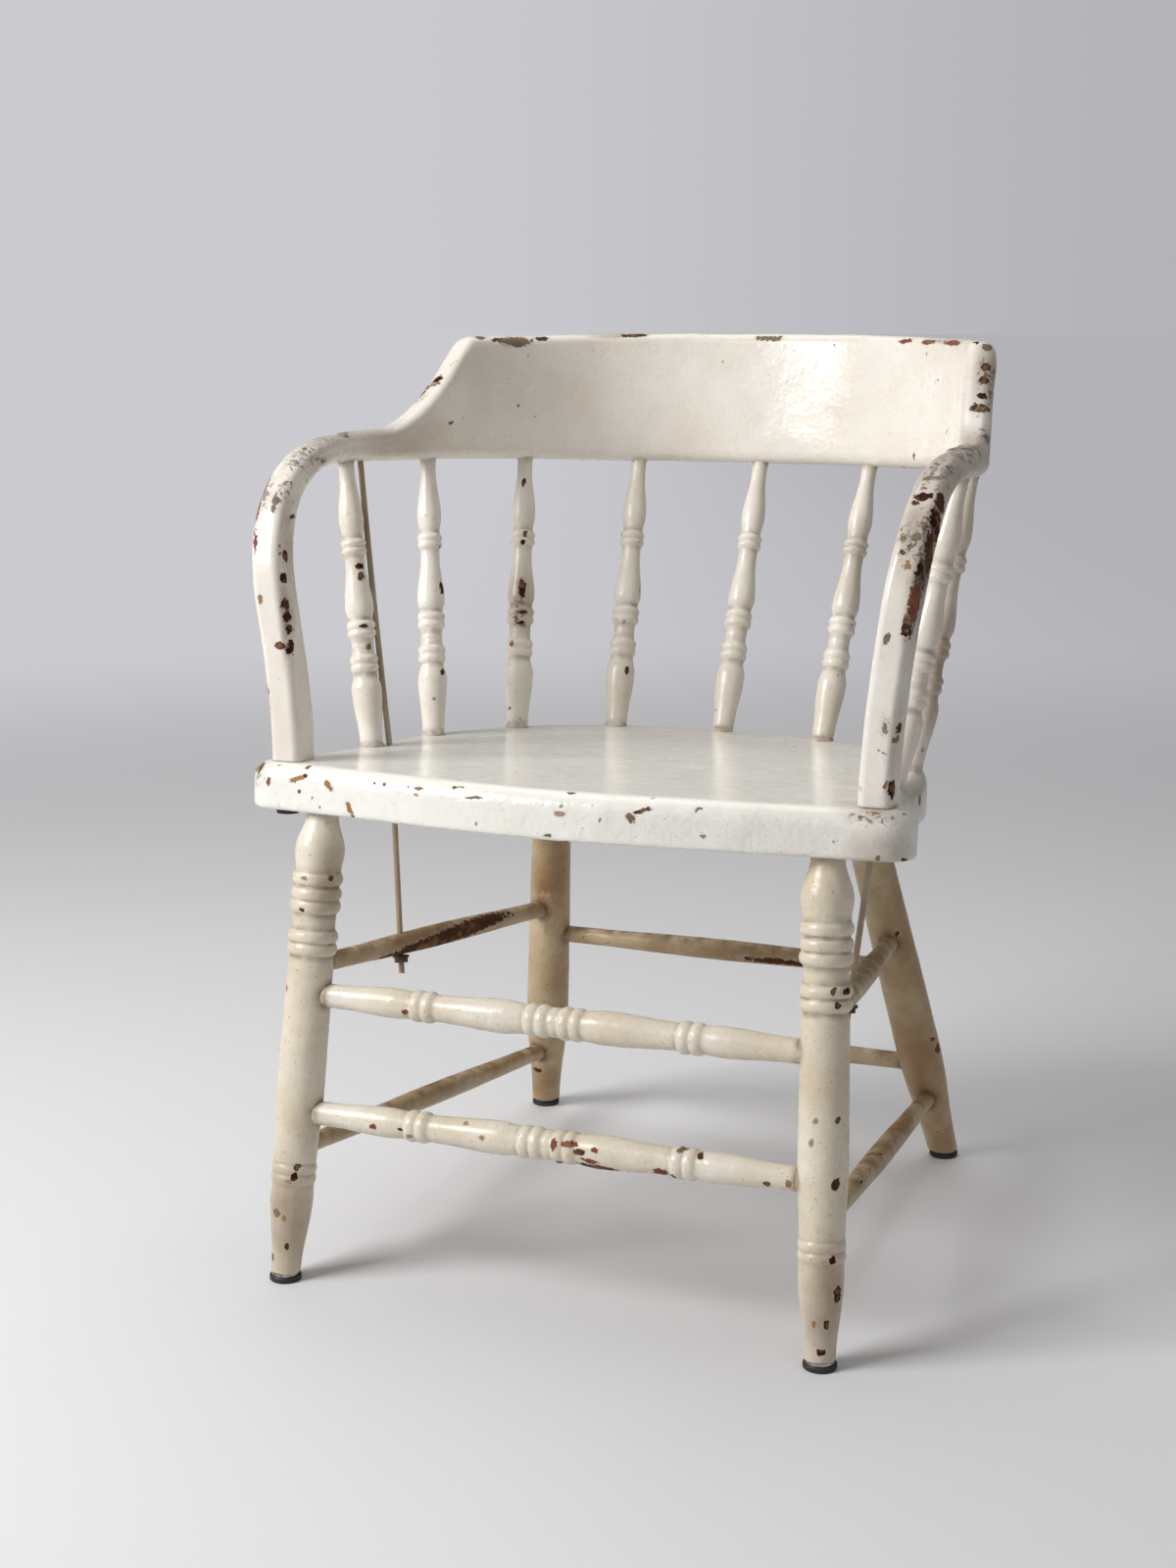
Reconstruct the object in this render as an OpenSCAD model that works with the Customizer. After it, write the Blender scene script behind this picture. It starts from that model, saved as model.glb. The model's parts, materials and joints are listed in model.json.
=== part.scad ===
// Low-backed wooden armchair: a shaped plank seat, one steam-bent rail that is both crest and arms,
// turned spindles, splayed legs with stretchers, two iron brace rods and glides under the legs.
// Units are millimetres. +Z is up, the sitter faces -Y, and the floor is at Z = 0.

/* [Seat] */
// height of the seat's top above the floor, at the middle of its widest part
seat_height = 429; // [380:1:480]
// fall of the seat towards the back
seat_tilt = 3.5; // [0:0.1:6]
// thickness of the plank
seat_thick = 39; // [30:1:50]
// width of the plank across the body of the seat
seat_width = 500; // [400:1:600]
// width across the two square ears that carry the arms
ear_width = 572; // [460:1:680]
// depth of the plank from the middle of its widest part to the back edge
seat_back = 297; // [220:1:340]
// depth of the plank from there forward to the ears' front edge
seat_front = 120; // [90:1:180]
// how far the front edge bows out in the middle
front_bow = 31; // [0:1:50]
// radius of the rounded top edge
seat_round = 11; // [4:1:16]

/* [Rail: crest and arms in one bent board] */
// width of the rail, from centre to centre of its thickness
rail_width = 552; // [440:1:660]
// depth of the bent part of the rail
rail_depth = 367; // [280:1:420]
// height of the underside of the arms
arm_height = 675; // [600:1:720]
// fall of the underside from the arms to the middle of the back
rail_drop = 20; // [0:1:40]
// height of the top edge of the crest
crest_height = 776; // [740:1:860]
// thickness of the bent board
rail_thick = 27; // [22:1:34]
// depth of the board where it is an arm
arm_deep = 26; // [20:1:34]
// depth of the board where it stands on the seat
post_deep = 34; // [26:1:42]
// radius of the bend from arm to post, on the centre line
bend_radius = 130; // [80:1:160]
// lean of the crest towards the back
crest_lean = 8; // [0:1:15]
// how far the arm posts stand in from the rail's width, each side
post_in = 22; // [0:1:40]
// distance of the arm posts in front of the widest part of the seat
post_front = 87; // [60:1:120]

/* [Spindles] */
// diameter of the fattest turning
spindle_swell = 26; // [20:0.5:32]
// diameter at the seat
spindle_foot = 20; // [14:0.5:24]
// diameter at the rail
spindle_top = 14; // [10:0.5:18]
// distance of the spindles in from the edge of the seat
spindle_inset = 15; // [12:1:40]
// depth of the holes in the seat and in the rail
spindle_socket = 14; // [8:1:20]

/* [Legs] */
// half the distance between the front legs at the floor
front_spread = 236; // [190:1:280]
// distance of the front legs at the floor in front of the widest part of the seat
front_reach = 159; // [120:1:200]
// half the distance between the front legs at the seat
front_top_spread = 219; // [160:1:240]
// distance of the front legs at the seat in front of the widest part of the seat
front_top_reach = 102; // [60:1:130]
// half the distance between the back legs at the floor
back_spread = 209; // [150:1:260]
// distance of the back legs at the floor behind the widest part of the seat
back_reach = 342; // [260:1:400]
// half the distance between the back legs at the seat
back_top_spread = 148; // [100:1:200]
// distance of the back legs at the seat behind the widest part of the seat
back_top_reach = 222; // [140:1:260]
// diameter of the front legs' shaft
front_leg_d = 40; // [32:1:48]
// diameter of the back legs' shaft
back_leg_d = 41; // [32:1:48]
// diameter of all leg tops in the seat
leg_top_d = 27; // [20:1:34]
// depth of the leg holes in the seat
leg_socket = 24; // [15:1:28]

/* [Stretchers] */
// height of the front upper stretcher
front_upper_z = 243; // [180:1:300]
// height of the front lower stretcher
front_lower_z = 144; // [80:1:170]
// height of the side upper stretchers at the front legs
side_upper_front_z = 266; // [200:1:320]
// height of the side upper stretchers at the back legs
side_upper_back_z = 228; // [160:1:300]
// height of the side lower stretchers at the front legs
side_lower_front_z = 111; // [70:1:160]
// height of the side lower stretchers at the back legs
side_lower_back_z = 65; // [45:1:140]
// height of the back upper stretcher
back_upper_z = 200; // [140:1:280]
// height of the back lower stretcher
back_lower_z = 100; // [60:1:160]
// diameter of the turned front stretchers at their ends
turned_end_d = 20; // [14:0.5:24]
// diameter of the turned front stretchers at their swells
turned_swell_d = 28; // [22:0.5:34]
// diameter of the plain stretchers at their ends
plain_end_d = 16; // [12:0.5:20]
// diameter of the plain stretchers in the middle
plain_mid_d = 20; // [14:0.5:26]
// depth of the stretcher holes in the legs
stretcher_socket = 13; // [8:1:16]

/* [Iron and feet] */
// diameter of the two brace rods
rod_d = 5; // [4:0.5:8]
// place of the brace rods along the side upper stretchers, as a share of their length
rod_along = 0.34; // [0.2:0.01:0.6]
// across the flats of the nuts on the brace rods
nut_flats = 11; // [8:0.5:16]
// diameter of the bolts that hold the arm posts to the seat
arm_bolt_d = 8; // [6:0.5:10]
// diameter of the black discs on those bolts, under the seat
arm_disc_d = 19; // [16:1:32]
// diameter of the glide pads
pad_d = 27; // [20:1:34]
// height of the glide pads
pad_h = 5; // [3:0.5:10]
// diameter of the steel cups in the glide pads
cup_d = 23; // [16:1:30]
// height of the steel cups
cup_h = 4.5; // [3:0.5:8]

/* [Fits] */
// gap all round between a turned end and its hole
fit_gap = 0.15; // [0.1:0.05:0.5]
// gap under the arm posts
post_gap = 0.3; // [0.1:0.1:1]

/* [Hidden] */

$fn = 48;
SIDES = [-1, 1];
cream = [0.86, 0.84, 0.78];
tan_cream = [0.78, 0.72, 0.62];
iron = [0.42, 0.40, 0.37];
black = [0.06, 0.06, 0.06];
steel = [0.62, 0.62, 0.60];

// The body of the seat and the rail's bend are squarish ovals: |x/a|^n + |y/b|^n = 1.
seat_power = 2.5;
rail_power = 2.2;
bend_power = 2.45;
// The rail's oval is centred a little behind the seat's widest part.
rail_centre = 22;
// Places of the right-hand spindles round both ovals, from the front one to the middle of the back.
foot_turns = [2.3, 20.5, 44.5, 69.5, 90];
top_turns = [4.7, 23.8, 44.6, 67.5, 90];

ear_corner = 27;
ear_turn = 35;
ear_neck = 30;
cup_z = pad_h - 2;
leg_end_z = cup_z + cup_h;
nail_d = 2.6;
nail_up = 16;
// how far out and forward of the post's middle each bolt comes through the seat
bolt_out = 5;
bolt_fore = 3;
// height of the left bolt's black disc, and the floor that it leaves under the bolt
disc_h = 6.5;
disc_floor = 0.4;
// the rod is a little thicker where it is bent, inside the seat
bend_bulge = 0.4;
lean_tan = tan(seat_tilt);

// radius of the rail's rounded corners
board_round = 11;

// The origin is in the middle of the whole depth: front pads to the crest's back.
front_end = leg_at(true, 1, leg_end_z / 2)[1] - pad_d / 2;
back_end =
    rail_centre + rail_depth + board_round
    + (rail_thick / 2 - board_round) * cos(crest_lean)
    + ((crest_height - arm_height + rail_drop) / cos(crest_lean) - board_round) * sin(crest_lean);
middle = (back_end + front_end) / 2;

// ---------------------------------------------------------------- helpers

function sgn_pow(v, p) = sign(v) * pow(abs(v), p);
function oval(a, b, n, t) = [a * sgn_pow(cos(t), 2 / n), b * sgn_pow(sin(t), 2 / n)];
function ease(u) = (1 - cos(180 * u)) / 2;
function soft_min(a, b, k) = -k * ln(exp(-a / k) + exp(-b / k));
function unit(v) = v / norm(v);
function at(p, q, u) = p + (q - p) * u;
// A curve from p to r that leaves and arrives along the lines to q.
function bent(p, q, r, u) = at(at(p, q, u), at(q, r, u), u);

// height of the seat's top over a plan position
function seat_z(y) = seat_height - lean_tan * y;

// A run of profile points [along, radius] that eases from one radius to the next.
function swell(z0, r0, z1, r1, n = 8) = [for (i = [0 : n - 1]) [z0 + (z1 - z0) * i / n, r0 + (r1 - r0) * ease(i / n)]];
// A round bead that stands out of a turning.
function bead(z, w, r0, r1, n = 6) = [for (i = [0 : n]) [z - w / 2 * cos(180 * i / n), r0 + (r1 - r0) * sin(180 * i / n)]];
// A pair of beads side by side.
function bead_pair(z, w, r0, r1) = concat(bead(z - w / 2, w, r0, r1), bead(z + w / 2, w, r0, r1));

// Lays a child made along +Z from p towards q.
module along(p, q) {
    d = q - p;
    translate(p) rotate([0, acos(d[2] / norm(d)), atan2(d[1], d[0])]) children();
}

// Turns a profile of [along, radius] points.
module turned(profile) {
    first = profile[0];
    last = profile[len(profile) - 1];
    rotate_extrude()
        polygon(concat([[0, first[0]]], [for (p = profile) [p[1], p[0]]], [[0, last[0]]]));
}

// A plain round bar between two points.
module bar(p, q, d) {
    along(p, q) cylinder(d = d, h = norm(q - p));
}

// The mean of a ring's points.
function ring_middle(r) = [for (p = r) 1] * r / len(r);

// A closed skin over rings that all have the same number of points. Its two ends are fans round their middles.
module skin(rings) {
    n = len(rings[0]);
    last = len(rings) - 1;
    start = n * (last + 1);
    end = start + 1;
    polyhedron(
        points = concat([for (r = rings, p = r) p], [ring_middle(rings[0]), ring_middle(rings[last])]),
        faces = concat(
            [for (i = [0 : n - 1]) [start, i, (i + 1) % n]],
            [for (r = [0 : last - 1], i = [0 : n - 1])
                [r * n + i, (r + 1) * n + i, (r + 1) * n + (i + 1) % n, r * n + (i + 1) % n]],
            [for (i = [0 : n - 1]) [end, last * n + (i + 1) % n, last * n + i]]
        ),
        convexity = 10
    );
}

// ---------------------------------------------------------------- places

// All places are given from the middle of the widest part of the seat; the drawing is then moved by `middle`.
function spindle_side(i) = i < 5 ? -1 : 1;
function spindle_step(i) = i < 5 ? i - 1 : 9 - i;
function spindle_low(i) =
    let (p = oval(seat_width / 2 - spindle_inset + 1, seat_back - spindle_inset, seat_power, foot_turns[spindle_step(i)]))
    [spindle_side(i) * p[0], p[1], seat_z(p[1])];
function spindle_high(i) =
    let (p = rail_plan(top_turns[spindle_step(i)]))
    [spindle_side(i) * p[0], p[1], rail_under(p[1])];

function leg_floor(front, side) = front ? [side * front_spread, -front_reach, 0] : [side * back_spread, back_reach, 0];
function leg_seat(front, side) =
    front
        ? [side * front_top_spread, -front_top_reach, seat_z(-front_top_reach) - seat_thick]
        : [side * back_top_spread, back_top_reach, seat_z(back_top_reach) - seat_thick];
function leg_at(front, side, z) = at(leg_floor(front, side), leg_seat(front, side), z / leg_seat(front, side)[2]);

function rod_on_stretcher(side) =
    at(leg_at(true, side, side_upper_front_z), leg_at(false, side, side_upper_back_z), rod_along);
function rod_in_seat(side) =
    let (s = spindle_low(9))
    [side * (s[0] - 15), s[1] + 9, seat_z(s[1] + 9) - seat_thick / 2];
function rod_in_arm(side) =
    let (s = spindle_high(9))
    [side * (s[0] - 3), s[1] + 21, rail_under(s[1] + 21) + 6];

// ---------------------------------------------------------------- rail

function rail_plan(t) = let (p = oval(rail_width / 2, rail_depth, rail_power, t)) [p[0], p[1] + rail_centre];
function rail_under(y) =
    let (u = max(0, y) / (rail_centre + rail_depth))
    arm_height - rail_drop * (0.76 * u + 0.24 * u * u);

// The top edge runs level along the arms, sweeps up and turns into the level crest.
sweep_start = 112;
sweep_end = 238;
function rail_top(y) =
    let (arm = arm_height + arm_deep - 3, u = max(0, y - sweep_start) / (sweep_end - sweep_start))
    soft_min(crest_height, arm + (crest_height - arm) * pow(u, 1.9), 2.2);

// Outline of the board: a rectangle with rounded corners, w thick and h deep.
function section(w, h) =
    let (r = min(board_round, w / 2 - 1, h / 2 - 1))
    [for (c = [0 : 3], k = [0 : 4])
        let (a = 90 * c + 22.5 * k, sx = (c == 0 || c == 3) ? 1 : -1, sy = c < 2 ? 1 : -1)
        [sx * (w / 2 - r) + r * cos(a), sy * (h / 2 - r) + r * sin(a)]];

// One ring of the skin: centre, outward and upward directions, thickness and depth.
function ring(c, out, up, w, h) = [for (p = section(w, h)) c + out * p[0] + up * p[1]];

// Ring where the board is crest or arm, at turn t round the oval.
function crest_ring(t) =
    let (
        p = rail_plan(t),
        q = rail_plan(t + 0.5),
        d = unit([p[0] - q[0], p[1] - q[1], 0]),
        out = [-d[1], d[0], 0],
        low = rail_under(p[1]),
        high = rail_top(p[1]),
        rise = (high - low - arm_deep) / (crest_height - arm_height - arm_deep),
        lean = crest_lean * min(1, max(0, rise)),
        up = [sin(lean) * out[0], sin(lean) * out[1], cos(lean)],
        side = [cos(lean) * out[0], cos(lean) * out[1], -sin(lean)],
        h = (high - low) / cos(lean)
    )
    ring([p[0], p[1], low] + up * h / 2, side, up, rail_thick, h);

arm_turn = asin(pow(21 / rail_depth, rail_power / 2));
arm_mid_z = rail_under(rail_plan(arm_turn)[1]) + (arm_deep - 3) / 2;
bend_y = bend_radius - post_front;
post_z = seat_z(-post_front);

function post_x(z) = rail_width / 2 - post_in * (1 - ease((z - post_z) / (arm_mid_z - post_z)));

// Centre line of the bend from arm to post, at turn a, seen from the side.
function bend_line(a) =
    let (p = oval(bend_radius, bend_radius, bend_power, 90 - a))
    [bend_y - p[0], arm_mid_z - bend_radius + p[1]];

// Ring round the bend, at turn a.
function bend_ring(a) =
    let (
        p = bend_line(a),
        d = unit(bend_line(a + 1) - bend_line(a - 1))
    )
    ring(
        [post_x(p[1]), p[0], p[1]],
        [1, 0, 0],
        [0, d[1], -d[0]],
        rail_thick,
        arm_deep - 3 + (post_deep - arm_deep + 3) * ease(a / 90)
    );

// Ring down the post, u from the bend to the seat; the last one lies on the seat.
function post_ring(u) =
    let (
        z = at(arm_mid_z - bend_radius, post_z, u),
        flat = ring([post_x(z), -post_front, z], [1, 0, 0], [0, -1, 0], rail_thick, post_deep)
    )
    u < 1 ? flat : [for (p = flat) [p[0], p[1], seat_z(p[1]) + post_gap]];

// From the middle of the back to the right-hand foot. The bend starts where the oval runs straight forward.
half_rail = concat(
    [for (t = [90 : -4.5 : 40]) crest_ring(t)],
    [for (t = [36 : -1.75 : arm_turn + 0.5]) crest_ring(t)],
    [for (a = [0 : 9 : 90]) bend_ring(a)],
    [for (u = [0.25 : 0.25 : 1]) post_ring(u)]
);
// The left half is the mirror image, taken from its foot to the back.
function mirrored(r) = [for (p = r) [-p[0], p[1], p[2]]];

module rail_body() {
    left = [for (i = [len(half_rail) - 1 : -1 : 1]) mirrored(half_rail[i])];
    skin(concat(left, half_rail));
}

module back_arm_rail() {
    color(cream) difference() {
        rail_body();
        for (i = [1 : 9]) {
            spindle_hole_high(i);
        }
        for (side = SIDES) {
            rod_hole(side);
            arm_bolt_hole(side);
        }
    }
}

// ---------------------------------------------------------------- seat

// Right half of the plank's outline, from the middle of the front to the middle of the back.
function seat_half() =
    let (
        body = seat_width / 2,
        ear = ear_width / 2,
        corner_x = ear - ear_corner,
        corner_y = -seat_front + ear_corner,
        ear_back = [corner_x + ear_corner * cos(ear_turn), corner_y + ear_corner * sin(ear_turn)],
        neck = [body + ear_neck * 0.3, corner_y + ear_neck],
        body_start = oval(body, seat_back, seat_power, 4)
    )
    concat(
        [for (i = [0 : 7]) let (x = corner_x * i / 8) [x, -seat_front - front_bow * pow(cos(90 * x / corner_x), 1.3)]],
        [for (a = [-90 : 15 : ear_turn - 1]) [corner_x + ear_corner * cos(a), corner_y + ear_corner * sin(a)]],
        // the back of the ear runs in a hollow curve to the body
        [for (i = [0 : 7]) bent(ear_back, neck, body_start, i / 8)],
        [for (t = [4 : 6 : 88]) oval(body, seat_back, seat_power, t)],
        [[0, seat_back]]
    );

// Moves each point of a closed outline inwards by d.
function inset(pts, d) =
    [for (i = [0 : len(pts) - 1])
        let (
            n = len(pts),
            t = unit(pts[(i + 1) % n] - pts[(i + n - 1) % n])
        )
        pts[i] + d * [-t[1], t[0]]];

function seat_outline() =
    let (half = seat_half(), n = len(half))
    concat(half, [for (i = [n - 2 : -1 : 1]) [-half[i][0], half[i][1]]]);

// Draws in the tilted plane of the seat's underside, with Z through the plank.
module on_underside() {
    translate([0, 0, seat_height - seat_thick / cos(seat_tilt)]) rotate([-seat_tilt, 0, 0]) children();
}

module seat_plank() {
    outline = seat_outline();
    levels = concat(
        [[0, 3], [3, 0]],
        [for (a = [0 : 22.5 : 90]) [seat_thick - seat_round + seat_round * sin(a), seat_round * (1 - cos(a))]]
    );
    on_underside() skin([for (l = levels) [for (p = inset(outline, l[1])) [p[0], p[1], l[0]]]]);
}

module seat() {
    color(cream) difference() {
        seat_plank();
        for (i = [1 : 9]) {
            spindle_hole_low(i);
        }
        for (side = SIDES) {
            leg_hole(true, side);
            leg_hole(false, side);
            rod_hole(side);
            arm_bolt_hole(side);
        }
    }
}

// ---------------------------------------------------------------- spindles

// Profile of a spindle from the seat (0) to the rail (l).
function spindle_profile(l) =
    let (f = spindle_foot / 2, s = spindle_swell / 2, t = spindle_top / 2, neck = s - 4.2, low = s - 2.6)
    concat(
        [[-spindle_socket, f - 0.6], [0, f - 0.6]],
        swell(4, f, 0.20 * l, s + 0.4),
        swell(0.20 * l, s + 0.4, 0.258 * l, low),
        bead_pair(0.289 * l, 0.029 * l, low, s - 0.4),
        bead(0.352 * l, 0.012 * l, neck + 0.6, neck + 1.2),
        bead_pair(0.410 * l, 0.029 * l, low, s - 0.2),
        swell(0.442 * l, low, 0.48 * l, s - 0.3, 5),
        swell(0.48 * l, s - 0.3, 0.64 * l, neck),
        [[0.665 * l, neck]],
        bead_pair(0.698 * l, 0.027 * l, neck, s - 1.5),
        swell(0.73 * l, neck + 0.4, 0.79 * l, s - 1.9),
        swell(0.79 * l, s - 1.9, 0.95 * l, t),
        [[0.95 * l, t], [l + spindle_socket, t]]
    );

module spindle(i) {
    p = spindle_low(i);
    q = spindle_high(i);
    color(cream) along(p, q) turned(spindle_profile(norm(q - p)));
}

module spindle_hole_low(i) {
    p = spindle_low(i);
    q = spindle_high(i);
    along(p, q) translate([0, 0, -spindle_socket - fit_gap])
        cylinder(d = spindle_foot - 1.2 + 2 * fit_gap, h = spindle_socket + 12);
}

module spindle_hole_high(i) {
    p = spindle_low(i);
    q = spindle_high(i);
    along(q, p) translate([0, 0, -spindle_socket - fit_gap])
        cylinder(d = spindle_top + 2 * fit_gap, h = spindle_socket + 10);
}

// ---------------------------------------------------------------- legs

// Profile of a turned front leg from the floor (0) to the seat (l).
function front_leg_profile(l) =
    let (s = front_leg_d / 2, t = leg_top_d / 2, e = 12.3)
    concat(
        swell(0, e, 0.185 * l, s - 1.8, 10),
        [[0.185 * l, s - 1.8], [0.210 * l, s - 2.4]],
        bead_pair(0.233 * l, 0.022 * l, s - 3, s - 0.8),
        swell(0.256 * l, s - 1.8, 0.40 * l, s, 6),
        swell(0.40 * l, s, 0.69 * l, s - 0.8, 8),
        bead_pair(0.724 * l, 0.026 * l, s - 2.2, s + 1.1),
        [[0.752 * l, s - 2.2], [0.785 * l, s - 2.2]],
        bead_pair(0.814 * l, 0.026 * l, s - 1.6, s + 1.3),
        [[0.842 * l, s - 1.8]],
        bead(0.858 * l, 0.026 * l, s - 1.8, s + 1.3),
        [[0.873 * l, s - 1]],
        swell(0.876 * l, s - 1, 0.915 * l, s + 0.8, 6),
        swell(0.915 * l, s + 0.8, 0.992 * l, t, 9),
        [[0.992 * l, t], [l + leg_socket, t]]
    );

// Profile of a plain back leg.
function back_leg_profile(l) =
    let (s = back_leg_d / 2, t = leg_top_d / 2, e = 13.8)
    concat(
        swell(0, e, 0.30 * l, s, 10),
        swell(0.30 * l, s, 0.97 * l, s - 2.2, 8),
        [[0.97 * l, s - 2.2], [l - 3, s - 2.8], [l - 3, t], [l + leg_socket, t]]
    );

module leg(front, side) {
    p = leg_floor(front, side);
    q = leg_seat(front, side);
    l = norm(q - p);
    color(cream) difference() {
        // the turning starts on the side away from the stretcher holes
        along(p, q) rotate([0, 0, 180]) turned(front ? front_leg_profile(l) : back_leg_profile(l));
        // the foot is sawn level to stand on its glide
        translate([p[0] - 50, p[1] - 50, -30]) cube([100, 100, 30 + leg_end_z]);
        nail_hole(front, side);
        // a plain leg's shoulder is scribed to the tilted underside of the seat
        if (!front) difference() {
            on_underside() translate([-seat_width / 2, -back_reach - 2 * back_leg_d, 0])
                cube([seat_width, 2 * back_reach + 4 * back_leg_d, seat_thick]);
            along(p, q) cylinder(d = leg_top_d + fit_gap, h = l + seat_thick);
        }
        if (front) {
            stretcher_hole(true, side, front_upper_z, true, -side, front_upper_z, turned_end_d);
            stretcher_hole(true, side, front_lower_z, true, -side, front_lower_z, turned_end_d);
            stretcher_hole(true, side, side_upper_front_z, false, side, side_upper_back_z, plain_end_d);
            stretcher_hole(true, side, side_lower_front_z, false, side, side_lower_back_z, plain_end_d);
        } else {
            stretcher_hole(false, side, back_upper_z, false, -side, back_upper_z, plain_end_d);
            stretcher_hole(false, side, back_lower_z, false, -side, back_lower_z, plain_end_d);
            stretcher_hole(false, side, side_upper_back_z, true, side, side_upper_front_z, plain_end_d);
            stretcher_hole(false, side, side_lower_back_z, true, side, side_lower_front_z, plain_end_d);
        }
    }
}

module leg_hole(front, side) {
    p = leg_floor(front, side);
    q = leg_seat(front, side);
    along(q, q + (q - p)) translate([0, 0, -20])
        cylinder(d = leg_top_d + 2 * fit_gap, h = 20 + leg_socket + fit_gap);
}

// ---------------------------------------------------------------- stretchers

// Radius of a leg where a stretcher meets it, and so how far from the leg's axis the stretcher ends.
function stretcher_stop(front) = (front ? front_leg_d : back_leg_d) / 2 - stretcher_socket;

module stretcher_hole(front, side, z, far_front, far_side, far_z, d) {
    p = leg_at(front, side, z);
    q = leg_at(far_front, far_side, far_z);
    along(p, q) translate([0, 0, stretcher_stop(front) - fit_gap]) cylinder(d = d + 2 * fit_gap, h = 40);
}

// Turned front stretcher from leg axis to leg axis.
module front_stretcher(z) {
    p = leg_at(true, -1, z);
    q = leg_at(true, 1, z);
    h = norm(q - p) / 2;
    stop = stretcher_stop(true);
    e = turned_end_d / 2;
    s = turned_swell_d / 2;
    // half of the profile, measured from the middle
    half = concat(
        [[0, s - 1.6], [4.5, s - 2]],
        bead_pair(15, 10, s - 2.6, s - 0.2),
        swell(26, s - 1.6, 44, s, 4),
        swell(44, s, 104, e + 1.4, 8),
        bead_pair(117, 10, e + 1.2, e + 3.4),
        swell(128, e + 1.6, 144, e + 2.6, 5),
        swell(144, e + 2.6, h - stop - 22, e, 6),
        [[h - stop - 22, e], [h - stop, e]]
    );
    color(cream) along(p, q) translate([0, 0, h])
        turned(concat([for (i = [len(half) - 1 : -1 : 1]) [-half[i][0], half[i][1]]], half));
}

// Plain stretcher with a slight swell between two legs.
module plain_stretcher(front_a, side_a, z_a, front_b, side_b, z_b, holed = false) {
    p = leg_at(front_a, side_a, z_a);
    q = leg_at(front_b, side_b, z_b);
    l = norm(q - p);
    e = plain_end_d / 2;
    m = plain_mid_d / 2;
    start = stretcher_stop(front_a);
    end = l - stretcher_stop(front_b);
    color(tan_cream) difference() {
        along(p, q) turned(concat(
            [[start, e]],
            swell(start + 22, e, l / 2, m, 8),
            swell(l / 2, m, end - 22, e, 8),
            [[end - 22, e], [end, e]]
        ));
        if (holed) {
            rod_hole(side_a);
        }
    }
}

// ---------------------------------------------------------------- iron

// Lower end of a brace rod, below its stretcher.
function rod_end(side) =
    let (p = rod_on_stretcher(side), q = rod_in_seat(side))
    p - unit(q - p) * (plain_mid_d / 2 + 16);

module rod_hole(side) {
    p = rod_end(side);
    q = rod_in_seat(side);
    r = rod_in_arm(side);
    d = rod_d + 2 * fit_gap;
    bar(p, q, d);
    bar(q, r + unit(r - q) * fit_gap, d);
    translate(q) sphere(d = d + bend_bulge);
}

module brace_rod(side) {
    p = rod_end(side);
    q = rod_in_seat(side);
    r = rod_in_arm(side);
    color(iron) union() {
        bar(p, q, rod_d);
        bar(q, r, rod_d);
        translate(q) sphere(d = rod_d + bend_bulge);
    }
}

// The nut sits just under the stretcher; its round flange is towards the wood.
module brace_nuts() {
    for (side = SIDES) {
        p = rod_on_stretcher(side);
        q = rod_in_seat(side);
        down = p - unit(q - p);
        color(iron) along(p, down) translate([0, 0, plain_mid_d / 2 + 0.4]) difference() {
            union() {
                cylinder(d = nut_flats * 1.35, h = 1.6);
                translate([0, 0, 1.6]) cylinder(d = nut_flats / cos(30), h = 4.4, $fn = 6);
            }
            translate([0, 0, -1]) cylinder(d = rod_d + 2 * fit_gap, h = 10);
        }
    }
}

// Line of an arm bolt: up through the seat into the post.
function bolt_low(side) =
    [side * (rail_width / 2 - post_in + bolt_out), -post_front - bolt_fore, seat_z(-post_front - bolt_fore) - seat_thick];
function bolt_high(side) = bolt_low(side) + [0, 0, seat_thick + 55];

module arm_bolt_hole(side) {
    bar(bolt_low(side) - [0, 0, 10], bolt_high(side) + [0, 0, fit_gap], arm_bolt_d + 2 * fit_gap);
}

module arm_bolts() {
    // the left bolt runs down into its disc; the right one has lost its disc and ends inside the seat
    color(iron) bar(bolt_low(-1) - [0, 0, disc_h - 2 * disc_floor], bolt_high(-1), arm_bolt_d);
    color(iron) bar(bolt_low(1) + [0, 0, disc_floor], bolt_high(1), arm_bolt_d);
}

module arm_bolt_disc() {
    color(black) translate(bolt_low(-1)) rotate([-seat_tilt, 0, 0]) translate([0, 0, -disc_h - 0.1])
        difference() {
            cylinder(d = arm_disc_d, h = disc_h);
            translate([0, 0, disc_floor]) cylinder(d = arm_bolt_d + 1, h = disc_h);
        }
}

// ---------------------------------------------------------------- glides

module at_each_foot() {
    for (front = [true, false], side = SIDES) {
        translate(leg_at(front, side, leg_end_z / 2) - [0, 0, leg_end_z / 2]) children();
    }
}

module nail_hole(front, side) {
    translate(leg_at(front, side, leg_end_z / 2)) cylinder(d = nail_d + 2 * fit_gap, h = leg_end_z + nail_up);
}

module glide_pads() {
    at_each_foot() color(black) difference() {
        rotate_extrude() polygon([
            [0, 0], [pad_d / 2 - 1, 0], [pad_d / 2, 1], [pad_d / 2, pad_h - 1], [pad_d / 2 - 1, pad_h], [0, pad_h]
        ]);
        translate([0, 0, cup_z]) cylinder(d = cup_d + 2 * fit_gap, h = pad_h);
    }
}

module glide_cups() {
    at_each_foot() color(steel) difference() {
        translate([0, 0, cup_z]) cylinder(d = cup_d, h = cup_h);
        translate([0, 0, cup_z - 1]) cylinder(d = nail_d + 2 * fit_gap, h = cup_h + 2);
    }
}

module glide_nails() {
    at_each_foot() color(steel) translate([0, 0, cup_z]) cylinder(d = nail_d, h = cup_h + nail_up - fit_gap);
}

// ---------------------------------------------------------------- drawing

module placed() {
    translate([0, -middle, 0]) children();
}

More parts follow.
